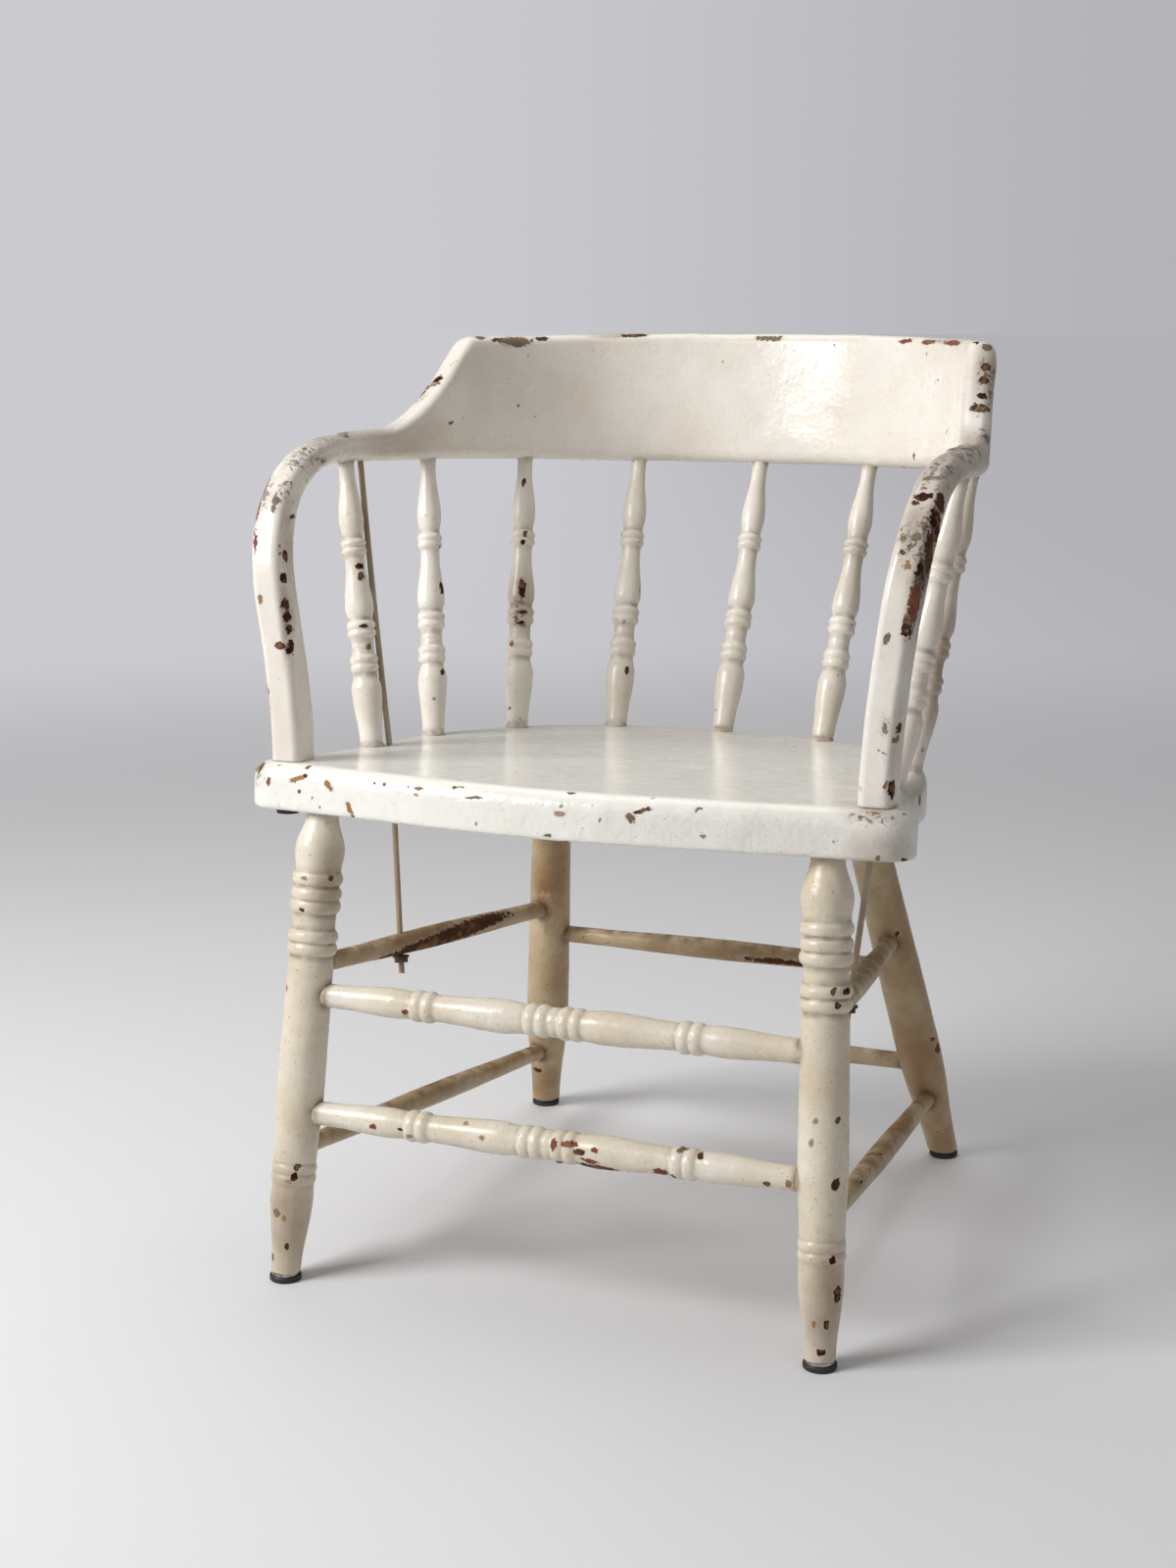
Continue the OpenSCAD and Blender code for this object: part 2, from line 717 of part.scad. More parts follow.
placed() seat();
placed() back_arm_rail();
placed() spindle(1);  // spindle_1
placed() spindle(2);  // spindle_2
placed() spindle(3);  // spindle_3
placed() spindle(4);  // spindle_4
placed() spindle(5);  // spindle_5
placed() spindle(6);  // spindle_6
placed() spindle(7);  // spindle_7
placed() spindle(8);  // spindle_8
placed() spindle(9);  // spindle_9
placed() leg(true, -1);  // leg_front_left
placed() leg(true, 1);  // leg_front_right
placed() leg(false, -1);  // leg_back_left
placed() leg(false, 1);  // leg_back_right
placed() front_stretcher(front_upper_z);  // stretcher_front_upper
placed() front_stretcher(front_lower_z);  // stretcher_front_lower
placed() plain_stretcher(false, -1, back_upper_z, false, 1, back_upper_z);  // stretcher_back_upper
placed() plain_stretcher(false, -1, back_lower_z, false, 1, back_lower_z);  // stretcher_back_lower
placed() plain_stretcher(true, -1, side_upper_front_z, false, -1, side_upper_back_z, true);  // stretcher_left_upper
placed() plain_stretcher(true, -1, side_lower_front_z, false, -1, side_lower_back_z);  // stretcher_left_lower
placed() plain_stretcher(true, 1, side_upper_front_z, false, 1, side_upper_back_z, true);  // stretcher_right_upper
placed() plain_stretcher(true, 1, side_lower_front_z, false, 1, side_lower_back_z);  // stretcher_right_lower
placed() brace_rod(-1);  // brace_rod_left
placed() brace_rod(1);  // brace_rod_right
placed() brace_nuts();
placed() arm_bolts();
placed() arm_bolt_disc();
placed() glide_cups();
placed() glide_pads();
placed() glide_nails();
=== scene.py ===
"""A low-backed wooden armchair whose cream gloss paint is chipped down to its older coats.

Every size is in millimetres until a mesh is made, and every mesh is in metres in the frame's own axes:
+Z is up, the sitter faces -Y, and left is -X.
"""

import json
import logging
import math
from dataclasses import dataclass, field
from enum import Enum
from functools import cache
from typing import Iterable, Sequence

import bmesh
import bpy
import numpy as np
from mathutils import Euler, Matrix, Vector, noise

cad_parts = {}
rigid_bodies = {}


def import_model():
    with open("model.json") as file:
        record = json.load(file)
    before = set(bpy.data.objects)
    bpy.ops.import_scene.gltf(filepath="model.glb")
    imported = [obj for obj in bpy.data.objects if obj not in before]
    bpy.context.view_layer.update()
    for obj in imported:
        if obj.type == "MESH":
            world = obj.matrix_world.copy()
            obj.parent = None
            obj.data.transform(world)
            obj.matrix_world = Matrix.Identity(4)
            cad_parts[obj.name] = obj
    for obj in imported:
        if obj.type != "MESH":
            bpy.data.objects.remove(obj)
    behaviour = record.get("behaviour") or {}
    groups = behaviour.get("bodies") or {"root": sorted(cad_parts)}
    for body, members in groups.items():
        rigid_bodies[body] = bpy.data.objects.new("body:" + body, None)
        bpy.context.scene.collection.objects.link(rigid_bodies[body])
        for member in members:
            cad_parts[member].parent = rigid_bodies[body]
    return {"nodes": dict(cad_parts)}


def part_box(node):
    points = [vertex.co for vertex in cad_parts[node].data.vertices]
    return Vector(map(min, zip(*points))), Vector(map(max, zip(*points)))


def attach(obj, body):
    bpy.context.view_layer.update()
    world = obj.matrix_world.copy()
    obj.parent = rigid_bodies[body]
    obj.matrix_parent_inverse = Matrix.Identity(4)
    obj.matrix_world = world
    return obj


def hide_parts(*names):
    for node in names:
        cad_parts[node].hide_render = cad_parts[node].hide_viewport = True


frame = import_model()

log = logging.getLogger("chair")

MM = 0.001
LEFT, RIGHT = -1, 1
SIDES = (LEFT, RIGHT)
Point = tuple[float, float, float]
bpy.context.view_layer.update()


# ---------------------------------------------------------------- small helpers


def linear(code: str) -> tuple[float, float, float, float]:
    """Turns an sRGB hex colour into a linear one.

    Args:
        code: Six hex digits, without a hash.

    Returns:
        Red, green, blue and an alpha of 1.
    """
    parts = [int(code[i : i + 2], 16) / 255 for i in (0, 2, 4)]
    return (*[c / 12.92 if c <= 0.04045 else ((c + 0.055) / 1.055) ** 2.4 for c in parts], 1.0)


def add(tree: bpy.types.NodeTree, kind: str, inputs: dict | None = None, **settings) -> bpy.types.Node:
    """Adds a node with its settings and its links.

    Args:
        tree: The tree that the node goes in.
        kind: The node's type name.
        inputs: Input name or number to a value, a socket, or a node whose first output is meant.
        **settings: The node's own properties.

    Returns:
        The new node.
    """
    made = tree.nodes.new(kind)
    for key, value in settings.items():
        setattr(made, key, value)
    for key, value in (inputs or {}).items():
        if isinstance(value, bpy.types.Node):
            value = value.outputs[0]
        if isinstance(value, bpy.types.NodeSocket):
            tree.links.new(value, made.inputs[key])
        else:
            made.inputs[key].default_value = value
    return made


def blank_material(name: str) -> tuple[bpy.types.Material, bpy.types.NodeTree, bpy.types.NodeSocket]:
    """Starts a material with an empty tree.

    Args:
        name: The material's name.

    Returns:
        The material, its tree, and its Object coordinates.
    """
    made = bpy.data.materials.new(name)
    made.use_nodes = True
    tree = made.node_tree
    tree.nodes.clear()
    return made, tree, add(tree, "ShaderNodeTexCoord").outputs["Object"]


def face_outward(mesh: bpy.types.Mesh) -> None:
    """Turns a closed mesh's faces outward."""
    work = bmesh.new()
    work.from_mesh(mesh)
    bmesh.ops.recalc_face_normals(work, faces=work.faces)
    work.to_mesh(mesh)
    work.free()


def open_tree(name: str, sockets: Sequence[tuple]) -> tuple[bpy.types.NodeTree, dict[str, str]]:
    """Starts a Geometry Nodes tree with named inputs and one Geometry output.

    Args:
        name: The tree's name.
        sockets: Name, kind and first value, or None, of each input.

    Returns:
        The tree, and each input's name to its identifier.
    """
    tree = bpy.data.node_groups.new(name, "GeometryNodeTree")
    ids = {}
    for title, kind, value in sockets:
        socket = tree.interface.new_socket(name=title, in_out="INPUT", socket_type=kind)
        if value is not None:
            socket.default_value = value
        ids[title] = socket.identifier
    tree.interface.new_socket(name="Geometry", in_out="OUTPUT", socket_type="NodeSocketGeometry")
    return tree, ids


def ease(u: float) -> float:
    """Returns u from 0 to 1 with a slow start and a slow end."""
    return (1 - math.cos(math.pi * u)) / 2


def oval(a: float, b: float, power: float, degrees: float) -> tuple[float, float]:
    """Finds a point of a squarish oval.

    Args:
        a: Half of its width.
        b: Half of its depth.
        power: 2 is an ellipse, and more is squarer.
        degrees: Turn round the oval, from +X towards +Y.

    Returns:
        The point's x and y.
    """
    c, s = math.cos(math.radians(degrees)), math.sin(math.radians(degrees))
    return (
        a * math.copysign(abs(c) ** (2 / power), c),
        b * math.copysign(abs(s) ** (2 / power), s),
    )


def rough(p: Vector, size: float, seed: float) -> float:
    """Returns smooth noise from about -1 to 1 at a point in mm, with features of that size in mm."""
    return noise.noise(p / size + Vector((seed * 17.3, seed * 5.1, seed * 9.7)))


@dataclass(frozen=True)
class Stick:
    """A round part that goes into another one, as a line with a radius, in mm."""

    start: Vector
    end: Vector
    radius: float


def nooks(points: np.ndarray, sticks: Sequence[Stick], reach: float = 5.0) -> np.ndarray:
    """Says how close each point is to where a stick comes out of the part.

    Args:
        points: One row a point, in mm.
        sticks: The parts that meet this one.
        reach: Distance in mm over which the closeness fades.

    Returns:
        1 at a stick's skin, fading to 0 away from it.
    """
    best = np.full(len(points), 1e6)
    for stick in sticks:
        a, b = np.array(stick.start), np.array(stick.end)
        d = b - a
        u = np.clip((points - a) @ d / (d @ d), 0, 1)
        gap = np.linalg.norm(points - (a + u[:, None] * d), axis=1) - stick.radius
        best = np.minimum(best, np.maximum(gap, 0))
    return np.exp(-best / reach)


def mesh_piece(
    name: str,
    points: np.ndarray,
    faces: list,
    material: bpy.types.Material,
    marks: dict[str, np.ndarray],
) -> bpy.types.Object:
    """Makes a smooth mesh object with its material and its wear marks.

    Args:
        name: The piece's name.
        points: One row a point, in mm, in the frame.
        faces: Point numbers of each face.
        material: The piece's material.
        marks: Name of each point attribute to its values.

    Returns:
        The object, with its place in its mesh.
    """
    mesh = bpy.data.meshes.new(name)
    mesh.from_pydata((points * MM).tolist(), [], faces)
    face_outward(mesh)
    for key, values in marks.items():
        mesh.attributes.new(key, "FLOAT", "POINT").data.foreach_set("value", values.astype(np.float32))
    mesh.polygons.foreach_set("use_smooth", [True] * len(mesh.polygons))
    mesh.materials.append(material)
    made = bpy.data.objects.new(name, mesh)
    bpy.context.scene.collection.objects.link(made)
    return made


def skin(rings: Sequence[Sequence[Vector]]) -> tuple[np.ndarray, list]:
    """Joins rings of points into a closed skin with a fan at each end.

    Args:
        rings: Rings with the same number of points, in order.

    Returns:
        The points and the faces.
    """
    n, last = len(rings[0]), len(rings) - 1
    points = [p for ring in rings for p in ring]
    points += [sum(rings[0], Vector()) / n, sum(rings[last], Vector()) / n]
    faces = [
        (r * n + i, (r + 1) * n + i, (r + 1) * n + (i + 1) % n, r * n + (i + 1) % n)
        for r in range(last)
        for i in range(n)
    ]
    faces += [(len(points) - 2, i, (i + 1) % n) for i in range(n)]
    faces += [(len(points) - 1, last * n + (i + 1) % n, last * n + i) for i in range(n)]
    return np.array([tuple(p) for p in points]), faces


def finish_piece(made: bpy.types.Object, nodes: Iterable[str]) -> None:
    """Hands a finished piece to the frame.

    Args:
        made: The piece.
        nodes: The CAD nodes that it stands for.
    """
    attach(made, "root")
    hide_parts(*nodes)
    log.info("%s: %d faces", made.name, len(made.data.polygons))


# ---------------------------------------------------------------- finishes


class Coat(Enum):
    """What shows where the top paint is damaged or darkened: wood and older coats, then dirt, stains and
    scrapes; the dirt and stain coats also serve as painted shade.
    """

    WOOD = "98764f"
    VARNISH = "35160c"
    BROWN = "50321f"
    RED = "7c4738"
    OLIVE = "7a6d58"
    WORN = "a88e78"
    GRIME_AND_SHADE = "917b67"
    STAIN_AND_SHADE = "8a6238"
    SCUFF = "817d79"


# Grime and stains soak in softly, and in places they stand for painted shade. A scuff is a field of fine grey
# and brown scrapes. All the rest break off with an edge.
SOFT_COATS = (Coat.GRIME_AND_SHADE, Coat.STAIN_AND_SHADE, Coat.SCUFF)


@dataclass(frozen=True)
class Chip:
    """One place where the paint has come away or is darkened by dirt, stain or painted shade, in mm and
    degrees.

    at is its middle, wide and tall its size across and up, and deep how far it reaches into the part.
    lean tips it in the front view and turn spins it in the plan.
    """

    at: Point
    wide: float
    tall: float
    coat: Coat = Coat.VARNISH
    lean: float = 0.0
    turn: float = 0.0
    deep: float = 0.0


@dataclass(frozen=True)
class GlossPaint:
    """Thick oil gloss brushed over older coats: a lumpy shine, yellowed, dirty in its hollows, chipped."""

    name: str
    chips: tuple[Chip, ...] = ()
    top: str = "e9e4d8"
    aged: str = "d9cdb6"
    dirt: str = "7b6148"
    yellowing: float = 0.5
    grime: float = 0.6
    dust: float = 0.0
    flaking: float = 0.5
    rubbing: float = 0.5
    shine: float = 0.22
    lumpy: float = 1.0

    def build(self) -> bpy.types.Material:
        """Makes the material.

        Returns:
            The material, on Object coordinates and the marks relief and nook.
        """
        made, t, place = blank_material(self.name)
        relief = add(t, "ShaderNodeAttribute", attribute_name="relief").outputs["Fac"]
        nook = add(t, "ShaderNodeAttribute", attribute_name="nook").outputs["Fac"]

        # Broken paint has a ragged edge: the place is shaken by a fine and a coarse noise before it is
        # measured.
        fine = add(t, "ShaderNodeTexNoise", {"Vector": place, "Scale": 1 / (3.2 * MM), "Detail": 3.0})
        coarse = add(t, "ShaderNodeTexNoise", {"Vector": place, "Scale": 1 / (11 * MM), "Detail": 2.0})
        scrape = add(
            t,
            "ShaderNodeTexNoise",
            {"Vector": place, "Scale": 1 / (3.6 * MM), "Detail": 4.0, "Roughness": 0.7},
        )
        shaken = place
        for source, reach in ((fine, 3.0 * MM), (coarse, 3.5 * MM)):
            middle = add(
                t, "ShaderNodeVectorMath", {0: source.outputs[1], 1: (0.5, 0.5, 0.5)}, operation="SUBTRACT"
            )
            scaled = add(t, "ShaderNodeVectorMath", {0: middle, "Scale": reach}, operation="SCALE")
            shaken = add(t, "ShaderNodeVectorMath", {0: shaken, 1: scaled}, operation="ADD").outputs[0]

        # Top coat: cream that has yellowed in clouds a hand wide, and a fine mottle 15 mm across.
        cloud = add(
            t,
            "ShaderNodeTexNoise",
            {"Vector": place, "Scale": 1 / (95 * MM), "Detail": 4.0, "Roughness": 0.6},
        )
        mottle = add(t, "ShaderNodeTexNoise", {"Vector": place, "Scale": 1 / (15 * MM), "Detail": 3.0})
        clouds = add(t, "ShaderNodeMapRange", {0: cloud, 1: 0.35, 2: 0.72, 3: 0.0, 4: self.yellowing})
        colour = add(
            t, "ShaderNodeMix", {0: clouds, 6: linear(self.top), 7: linear(self.aged)}, data_type="RGBA"
        ).outputs[2]
        mottled = add(
            t, "ShaderNodeMapRange", {0: mottle, 1: 0.45, 2: 0.85, 3: 0.0, 4: 0.45 * self.yellowing}
        )
        colour = add(
            t, "ShaderNodeMix", {0: mottled, 6: colour, 7: linear(self.aged)}, data_type="RGBA"
        ).outputs[2]

        # Dirt: in turned grooves, round joints, as fly specks, and lying on upper sides.
        groove = add(t, "ShaderNodeMapRange", {0: relief, 1: -0.15, 2: -1.1, 3: 0.0, 4: 0.85 * self.grime})
        corner = add(t, "ShaderNodeMapRange", {0: nook, 1: 0.25, 2: 0.95, 3: 0.0, 4: 0.95 * self.grime})
        hollow = add(t, "ShaderNodeMath", {0: groove, 1: corner}, operation="MAXIMUM")
        broken = add(t, "ShaderNodeMapRange", {0: coarse, 1: 0.32, 2: 0.62, 3: 0.25, 4: 1.0})
        dirt = add(t, "ShaderNodeMath", {0: hollow, 1: broken}, operation="MULTIPLY")
        speck = add(t, "ShaderNodeTexNoise", {"Vector": place, "Scale": 1 / (2.4 * MM), "Detail": 1.0})
        specks = add(t, "ShaderNodeMapRange", {0: speck, 1: 0.69, 2: 0.74, 3: 0.0, 4: 0.6 * self.grime ** 2})
        dirt = add(t, "ShaderNodeMath", {0: dirt, 1: specks}, operation="MAXIMUM")
        up = add(
            t, "ShaderNodeSeparateXYZ", {0: add(t, "ShaderNodeNewGeometry").outputs["Normal"]}
        ).outputs[2]
        lying = add(t, "ShaderNodeMapRange", {0: up, 1: 0.15, 2: 0.95, 3: 0.0, 4: self.dust})
        patchy = add(t, "ShaderNodeMapRange", {0: mottle, 1: 0.40, 2: 0.62, 3: 0.15, 4: 1.0})
        lying = add(t, "ShaderNodeMath", {0: lying, 1: patchy}, operation="MULTIPLY")
        dirt = add(t, "ShaderNodeMath", {0: dirt, 1: lying}, operation="MAXIMUM")
        colour = add(
            t, "ShaderNodeMix", {0: dirt, 6: colour, 7: linear(self.dirt)}, data_type="RGBA"
        ).outputs[2]

        # Small chips that nobody placed: a few cells of an 18 mm scatter have one, more on worn edges.
        scatter = add(t, "ShaderNodeTexVoronoi", {"Vector": shaken, "Scale": 1 / (18 * MM)})
        chance = add(t, "ShaderNodeSeparateColor", {0: scatter.outputs["Color"]})
        edge = add(t, "ShaderNodeMapRange", {0: relief, 1: 0.1, 2: 1.0, 3: 0.0, 4: 0.16 * self.rubbing})
        lucky = add(t, "ShaderNodeMapRange", {0: chance, 1: 0.80, 2: 1.0, 3: -0.05, 4: 0.13 * self.flaking})
        size = add(t, "ShaderNodeMath", {0: edge, 1: lucky}, operation="ADD")
        inside = add(t, "ShaderNodeMath", {0: size, 1: scatter.outputs["Distance"]}, operation="SUBTRACT")
        small = add(t, "ShaderNodeMapRange", {0: inside, 1: -0.01, 2: 0.02, 3: 0.0, 4: 1.0})
        tone = add(
            t,
            "ShaderNodeMix",
            {0: chance.outputs[1], 6: linear(Coat.BROWN.value), 7: linear(Coat.WORN.value)},
            data_type="RGBA",
        )
        colour = add(
            t, "ShaderNodeMix", {0: small, 6: colour, 7: tone.outputs[2]}, data_type="RGBA"
        ).outputs[2]

        ragged = add(t, "ShaderNodeMath", {0: scrape, 1: 1.7, 2: -0.85}, operation="MULTIPLY_ADD")

        # Placed chips: how far the shaken place is from the nearest one of each coat, 1 at its edge.
        bare = small
        for coat in sorted(Coat, key=lambda one: one not in SOFT_COATS):
            deepest = None
            for chip in (c for c in self.chips if c.coat is coat):
                # twice the chip's size, so the ball reads 0.5 at the chip's edge and 1 at its middle
                reach = (chip.wide * MM, (chip.deep or max(chip.wide, 11.0)) * MM, chip.tall * MM)
                fitted = add(
                    t,
                    "ShaderNodeMapping",
                    {
                        "Vector": shaken,
                        "Location": [c * MM for c in chip.at],
                        "Rotation": (0.0, math.radians(chip.lean), math.radians(chip.turn)),
                        "Scale": reach,
                    },
                    vector_type="TEXTURE",
                )
                ball = add(
                    t, "ShaderNodeTexGradient", {"Vector": fitted}, gradient_type="SPHERICAL"
                ).outputs["Fac"]
                deepest = ball if deepest is None else add(
                    t, "ShaderNodeMath", {0: deepest, 1: ball}, operation="MAXIMUM"
                ).outputs[0]
            if deepest is None:
                continue
            near = add(t, "ShaderNodeMath", {0: deepest, 1: -2.0, 2: 2.0}, operation="MULTIPLY_ADD")
            if coat not in SOFT_COATS:
                near = add(t, "ShaderNodeMath", {0: near, 1: ragged}, operation="ADD")
            soft = coat in SOFT_COATS
            there = add(
                t,
                "ShaderNodeMapRange",
                {0: near, 1: 1.25 if soft else 1.03, 2: 0.35 if soft else 0.97, 3: 0.0, 4: 1.0},
            )
            if coat is Coat.SCUFF:
                tint = add(t, "ShaderNodeMath", {0: there, 1: broken}, operation="MULTIPLY")
                tint = add(t, "ShaderNodeMath", {0: tint, 1: 0.55}, operation="MULTIPLY")
                colour = add(
                    t, "ShaderNodeMix", {0: tint, 6: colour, 7: linear("b7a493")}, data_type="RGBA"
                ).outputs[2]
                limit = add(t, "ShaderNodeMapRange", {0: there, 1: 0.0, 2: 1.0, 3: 0.70, 4: 0.51})
                blotch = add(t, "ShaderNodeMath", {0: coarse, 1: 0.97}, operation="MULTIPLY")
                blotch = add(t, "ShaderNodeMath", {0: scrape, 1: blotch}, operation="MAXIMUM")
                over = add(t, "ShaderNodeMath", {0: blotch, 1: limit}, operation="SUBTRACT")
                there = add(t, "ShaderNodeMapRange", {0: over, 1: 0.0, 2: 0.03, 3: 0.0, 4: 0.85})
                shade = add(t, "ShaderNodeMapRange", {0: mottle, 1: 0.47, 2: 0.56, 3: 0.0, 4: 1.0})
                inner = add(
                    t,
                    "ShaderNodeMix",
                    {0: shade, 6: linear(coat.value), 7: linear("4a3527")},
                    data_type="RGBA",
                )
                bare = add(t, "ShaderNodeMath", {0: there, 1: 0.5, 2: bare}, operation="MULTIPLY_ADD")
            elif soft:
                # soft patches of grime and stain, some of them painted shade, soak in unevenly
                uneven = add(t, "ShaderNodeMapRange", {0: cloud, 1: 0.3, 2: 0.7, 3: 0.3, 4: 0.75})
                there = add(t, "ShaderNodeMath", {0: there, 1: uneven}, operation="MULTIPLY")
                inner = add(
                    t,
                    "ShaderNodeMix",
                    {0: 0.0, 6: linear(coat.value), 7: linear(coat.value)},
                    data_type="RGBA",
                )
            else:
                rim = add(t, "ShaderNodeMapRange", {0: near, 1: 1.35, 2: 1.1, 3: 0.0, 4: 0.6})
                rim = add(t, "ShaderNodeMath", {0: rim, 1: broken}, operation="MULTIPLY")
                colour = add(
                    t, "ShaderNodeMix", {0: rim, 6: colour, 7: linear("cdbfae")}, data_type="RGBA"
                ).outputs[2]
                bare = add(t, "ShaderNodeMath", {0: bare, 1: there}, operation="MAXIMUM")
                # wood grain and scraps of the coats between show inside, and the broken edge is darkest
                shade = add(t, "ShaderNodeMapRange", {0: coarse, 1: 0.5, 2: 0.58, 3: 0.0, 4: 0.55})
                edge_dark = add(t, "ShaderNodeMapRange", {0: near, 1: 0.45, 2: 0.85, 3: 1.0, 4: 0.0})
                shade = add(t, "ShaderNodeMath", {0: shade, 1: edge_dark}, operation="MULTIPLY")
                inner = add(
                    t,
                    "ShaderNodeMix",
                    {0: shade, 6: linear(coat.value), 7: linear("96714a")},
                    data_type="RGBA",
                )
            colour = add(
                t, "ShaderNodeMix", {0: there, 6: colour, 7: inner.outputs[2]}, data_type="RGBA"
            ).outputs[2]

        # The coat is about 0.4 mm thick, with an orange-peel skin 5 mm across and brushed lumps 28 mm across.
        peel = add(
            t, "ShaderNodeTexNoise", {"Vector": place, "Scale": 1 / (5 * MM), "Detail": 1.5, "Roughness": 0.4}
        )
        lumps = add(t, "ShaderNodeTexNoise", {"Vector": place, "Scale": 1 / (28 * MM), "Detail": 1.0})
        height = add(t, "ShaderNodeMath", {0: peel, 1: 0.3 * MM * self.lumpy}, operation="MULTIPLY")
        pits = add(t, "ShaderNodeMapRange", {0: scrape, 1: 0.60, 2: 0.72, 3: 0.0, 4: -0.12 * MM * self.lumpy})
        height = add(t, "ShaderNodeMath", {0: height, 1: pits}, operation="ADD")
        height = add(
            t, "ShaderNodeMath", {0: lumps, 1: 0.8 * MM * self.lumpy, 2: height}, operation="MULTIPLY_ADD"
        )
        level = add(t, "ShaderNodeMapRange", {0: up, 1: 0.3, 2: 0.95, 3: 1.0, 4: 0.22})
        height = add(t, "ShaderNodeMath", {0: height, 1: level}, operation="MULTIPLY")
        height = add(t, "ShaderNodeMath", {0: bare, 1: -0.4 * MM, 2: height}, operation="MULTIPLY_ADD")
        height = add(t, "ShaderNodeMath", {0: dirt, 1: 0.1 * MM, 2: height}, operation="MULTIPLY_ADD")
        bump = add(t, "ShaderNodeBump", {"Strength": 1.0, "Distance": 1.0, "Height": height})
        dull = add(t, "ShaderNodeMath", {0: bare, 1: dirt}, operation="MAXIMUM")
        shine = add(
            t, "ShaderNodeMapRange", {0: mottle, 1: 0.3, 2: 0.7, 3: self.shine - 0.04, 4: self.shine + 0.08}
        )
        gloss = add(t, "ShaderNodeMath", {0: dull, 1: 0.45, 2: shine}, operation="MULTIPLY_ADD")
        mirror = add(t, "ShaderNodeMapRange", {0: bare, 1: 0.0, 2: 1.0, 3: 0.5, 4: 0.12})
        looks = {
            "Base Color": colour, "Roughness": gloss, "IOR": 1.5, "Specular IOR Level": mirror,
            "Normal": bump,
        }
        shader = add(t, "ShaderNodeBsdfPrincipled", looks)
        add(t, "ShaderNodeOutputMaterial", {"Surface": shader})
        return made


@dataclass(frozen=True)
class RustyIron:
    """Forged iron rod and nuts, rusted brown with a little old grey metal: dull, pitted and uneven."""

    name: str = "forged_iron_rusted"
    rust: str = "7a5c40"
    dark: str = "4a3829"

    def build(self) -> bpy.types.Material:
        """Makes the material.

        Returns:
            The material, on Object coordinates.
        """
        made, t, place = blank_material(self.name)
        cloud = add(t, "ShaderNodeTexNoise", {"Vector": place, "Scale": 1 / (7 * MM), "Detail": 4.0})
        pits = add(t, "ShaderNodeTexNoise", {"Vector": place, "Scale": 1 / (1.2 * MM), "Detail": 2.0})
        rusted = add(t, "ShaderNodeMapRange", {0: cloud, 1: 0.35, 2: 0.6, 3: 0.0, 4: 1.0})
        colour = add(
            t, "ShaderNodeMix", {0: rusted, 6: linear(self.dark), 7: linear(self.rust)}, data_type="RGBA"
        )
        rougher = add(t, "ShaderNodeMapRange", {0: rusted, 1: 0.0, 2: 1.0, 3: 0.5, 4: 0.9})
        metal = add(t, "ShaderNodeMapRange", {0: rusted, 1: 0.0, 2: 1.0, 3: 0.7, 4: 0.05})
        height = add(t, "ShaderNodeMath", {0: pits, 1: 0.25 * MM}, operation="MULTIPLY")
        bump = add(t, "ShaderNodeBump", {"Strength": 1.0, "Distance": 1.0, "Height": height})
        shader = add(
            t,
            "ShaderNodeBsdfPrincipled",
            {"Base Color": colour.outputs[2], "Roughness": rougher, "Metallic": metal, "Normal": bump},
        )
        add(t, "ShaderNodeOutputMaterial", {"Surface": shader})
        return made


@dataclass(frozen=True)
class WornSteel:
    """Pressed steel glide cup, scuffed by the floor: pale grey metal with dark and rusty smears."""

    name: str = "pressed_steel_scuffed"
    bright: str = "b9b7b1"
    stained: str = "6d5b4c"

    def build(self) -> bpy.types.Material:
        """Makes the material.

        Returns:
            The material, on Object coordinates.
        """
        made, t, place = blank_material(self.name)
        smear = add(t, "ShaderNodeTexNoise", {"Vector": place, "Scale": 1 / (5 * MM), "Detail": 3.0})
        scuff = add(t, "ShaderNodeTexNoise", {"Vector": place, "Scale": 1 / (0.8 * MM), "Detail": 2.0})
        stained = add(t, "ShaderNodeMapRange", {0: smear, 1: 0.42, 2: 0.7, 3: 0.0, 4: 0.9})
        colour = add(
            t,
            "ShaderNodeMix",
            {0: stained, 6: linear(self.bright), 7: linear(self.stained)},
            data_type="RGBA",
        )
        rougher = add(t, "ShaderNodeMapRange", {0: scuff, 1: 0.3, 2: 0.7, 3: 0.28, 4: 0.5})
        height = add(t, "ShaderNodeMath", {0: scuff, 1: 0.05 * MM}, operation="MULTIPLY")
        bump = add(t, "ShaderNodeBump", {"Strength": 1.0, "Distance": 1.0, "Height": height})
        shader = add(
            t,
            "ShaderNodeBsdfPrincipled",
            {"Base Color": colour.outputs[2], "Roughness": rougher, "Metallic": 0.9, "Normal": bump},
        )
        add(t, "ShaderNodeOutputMaterial", {"Surface": shader})
        return made


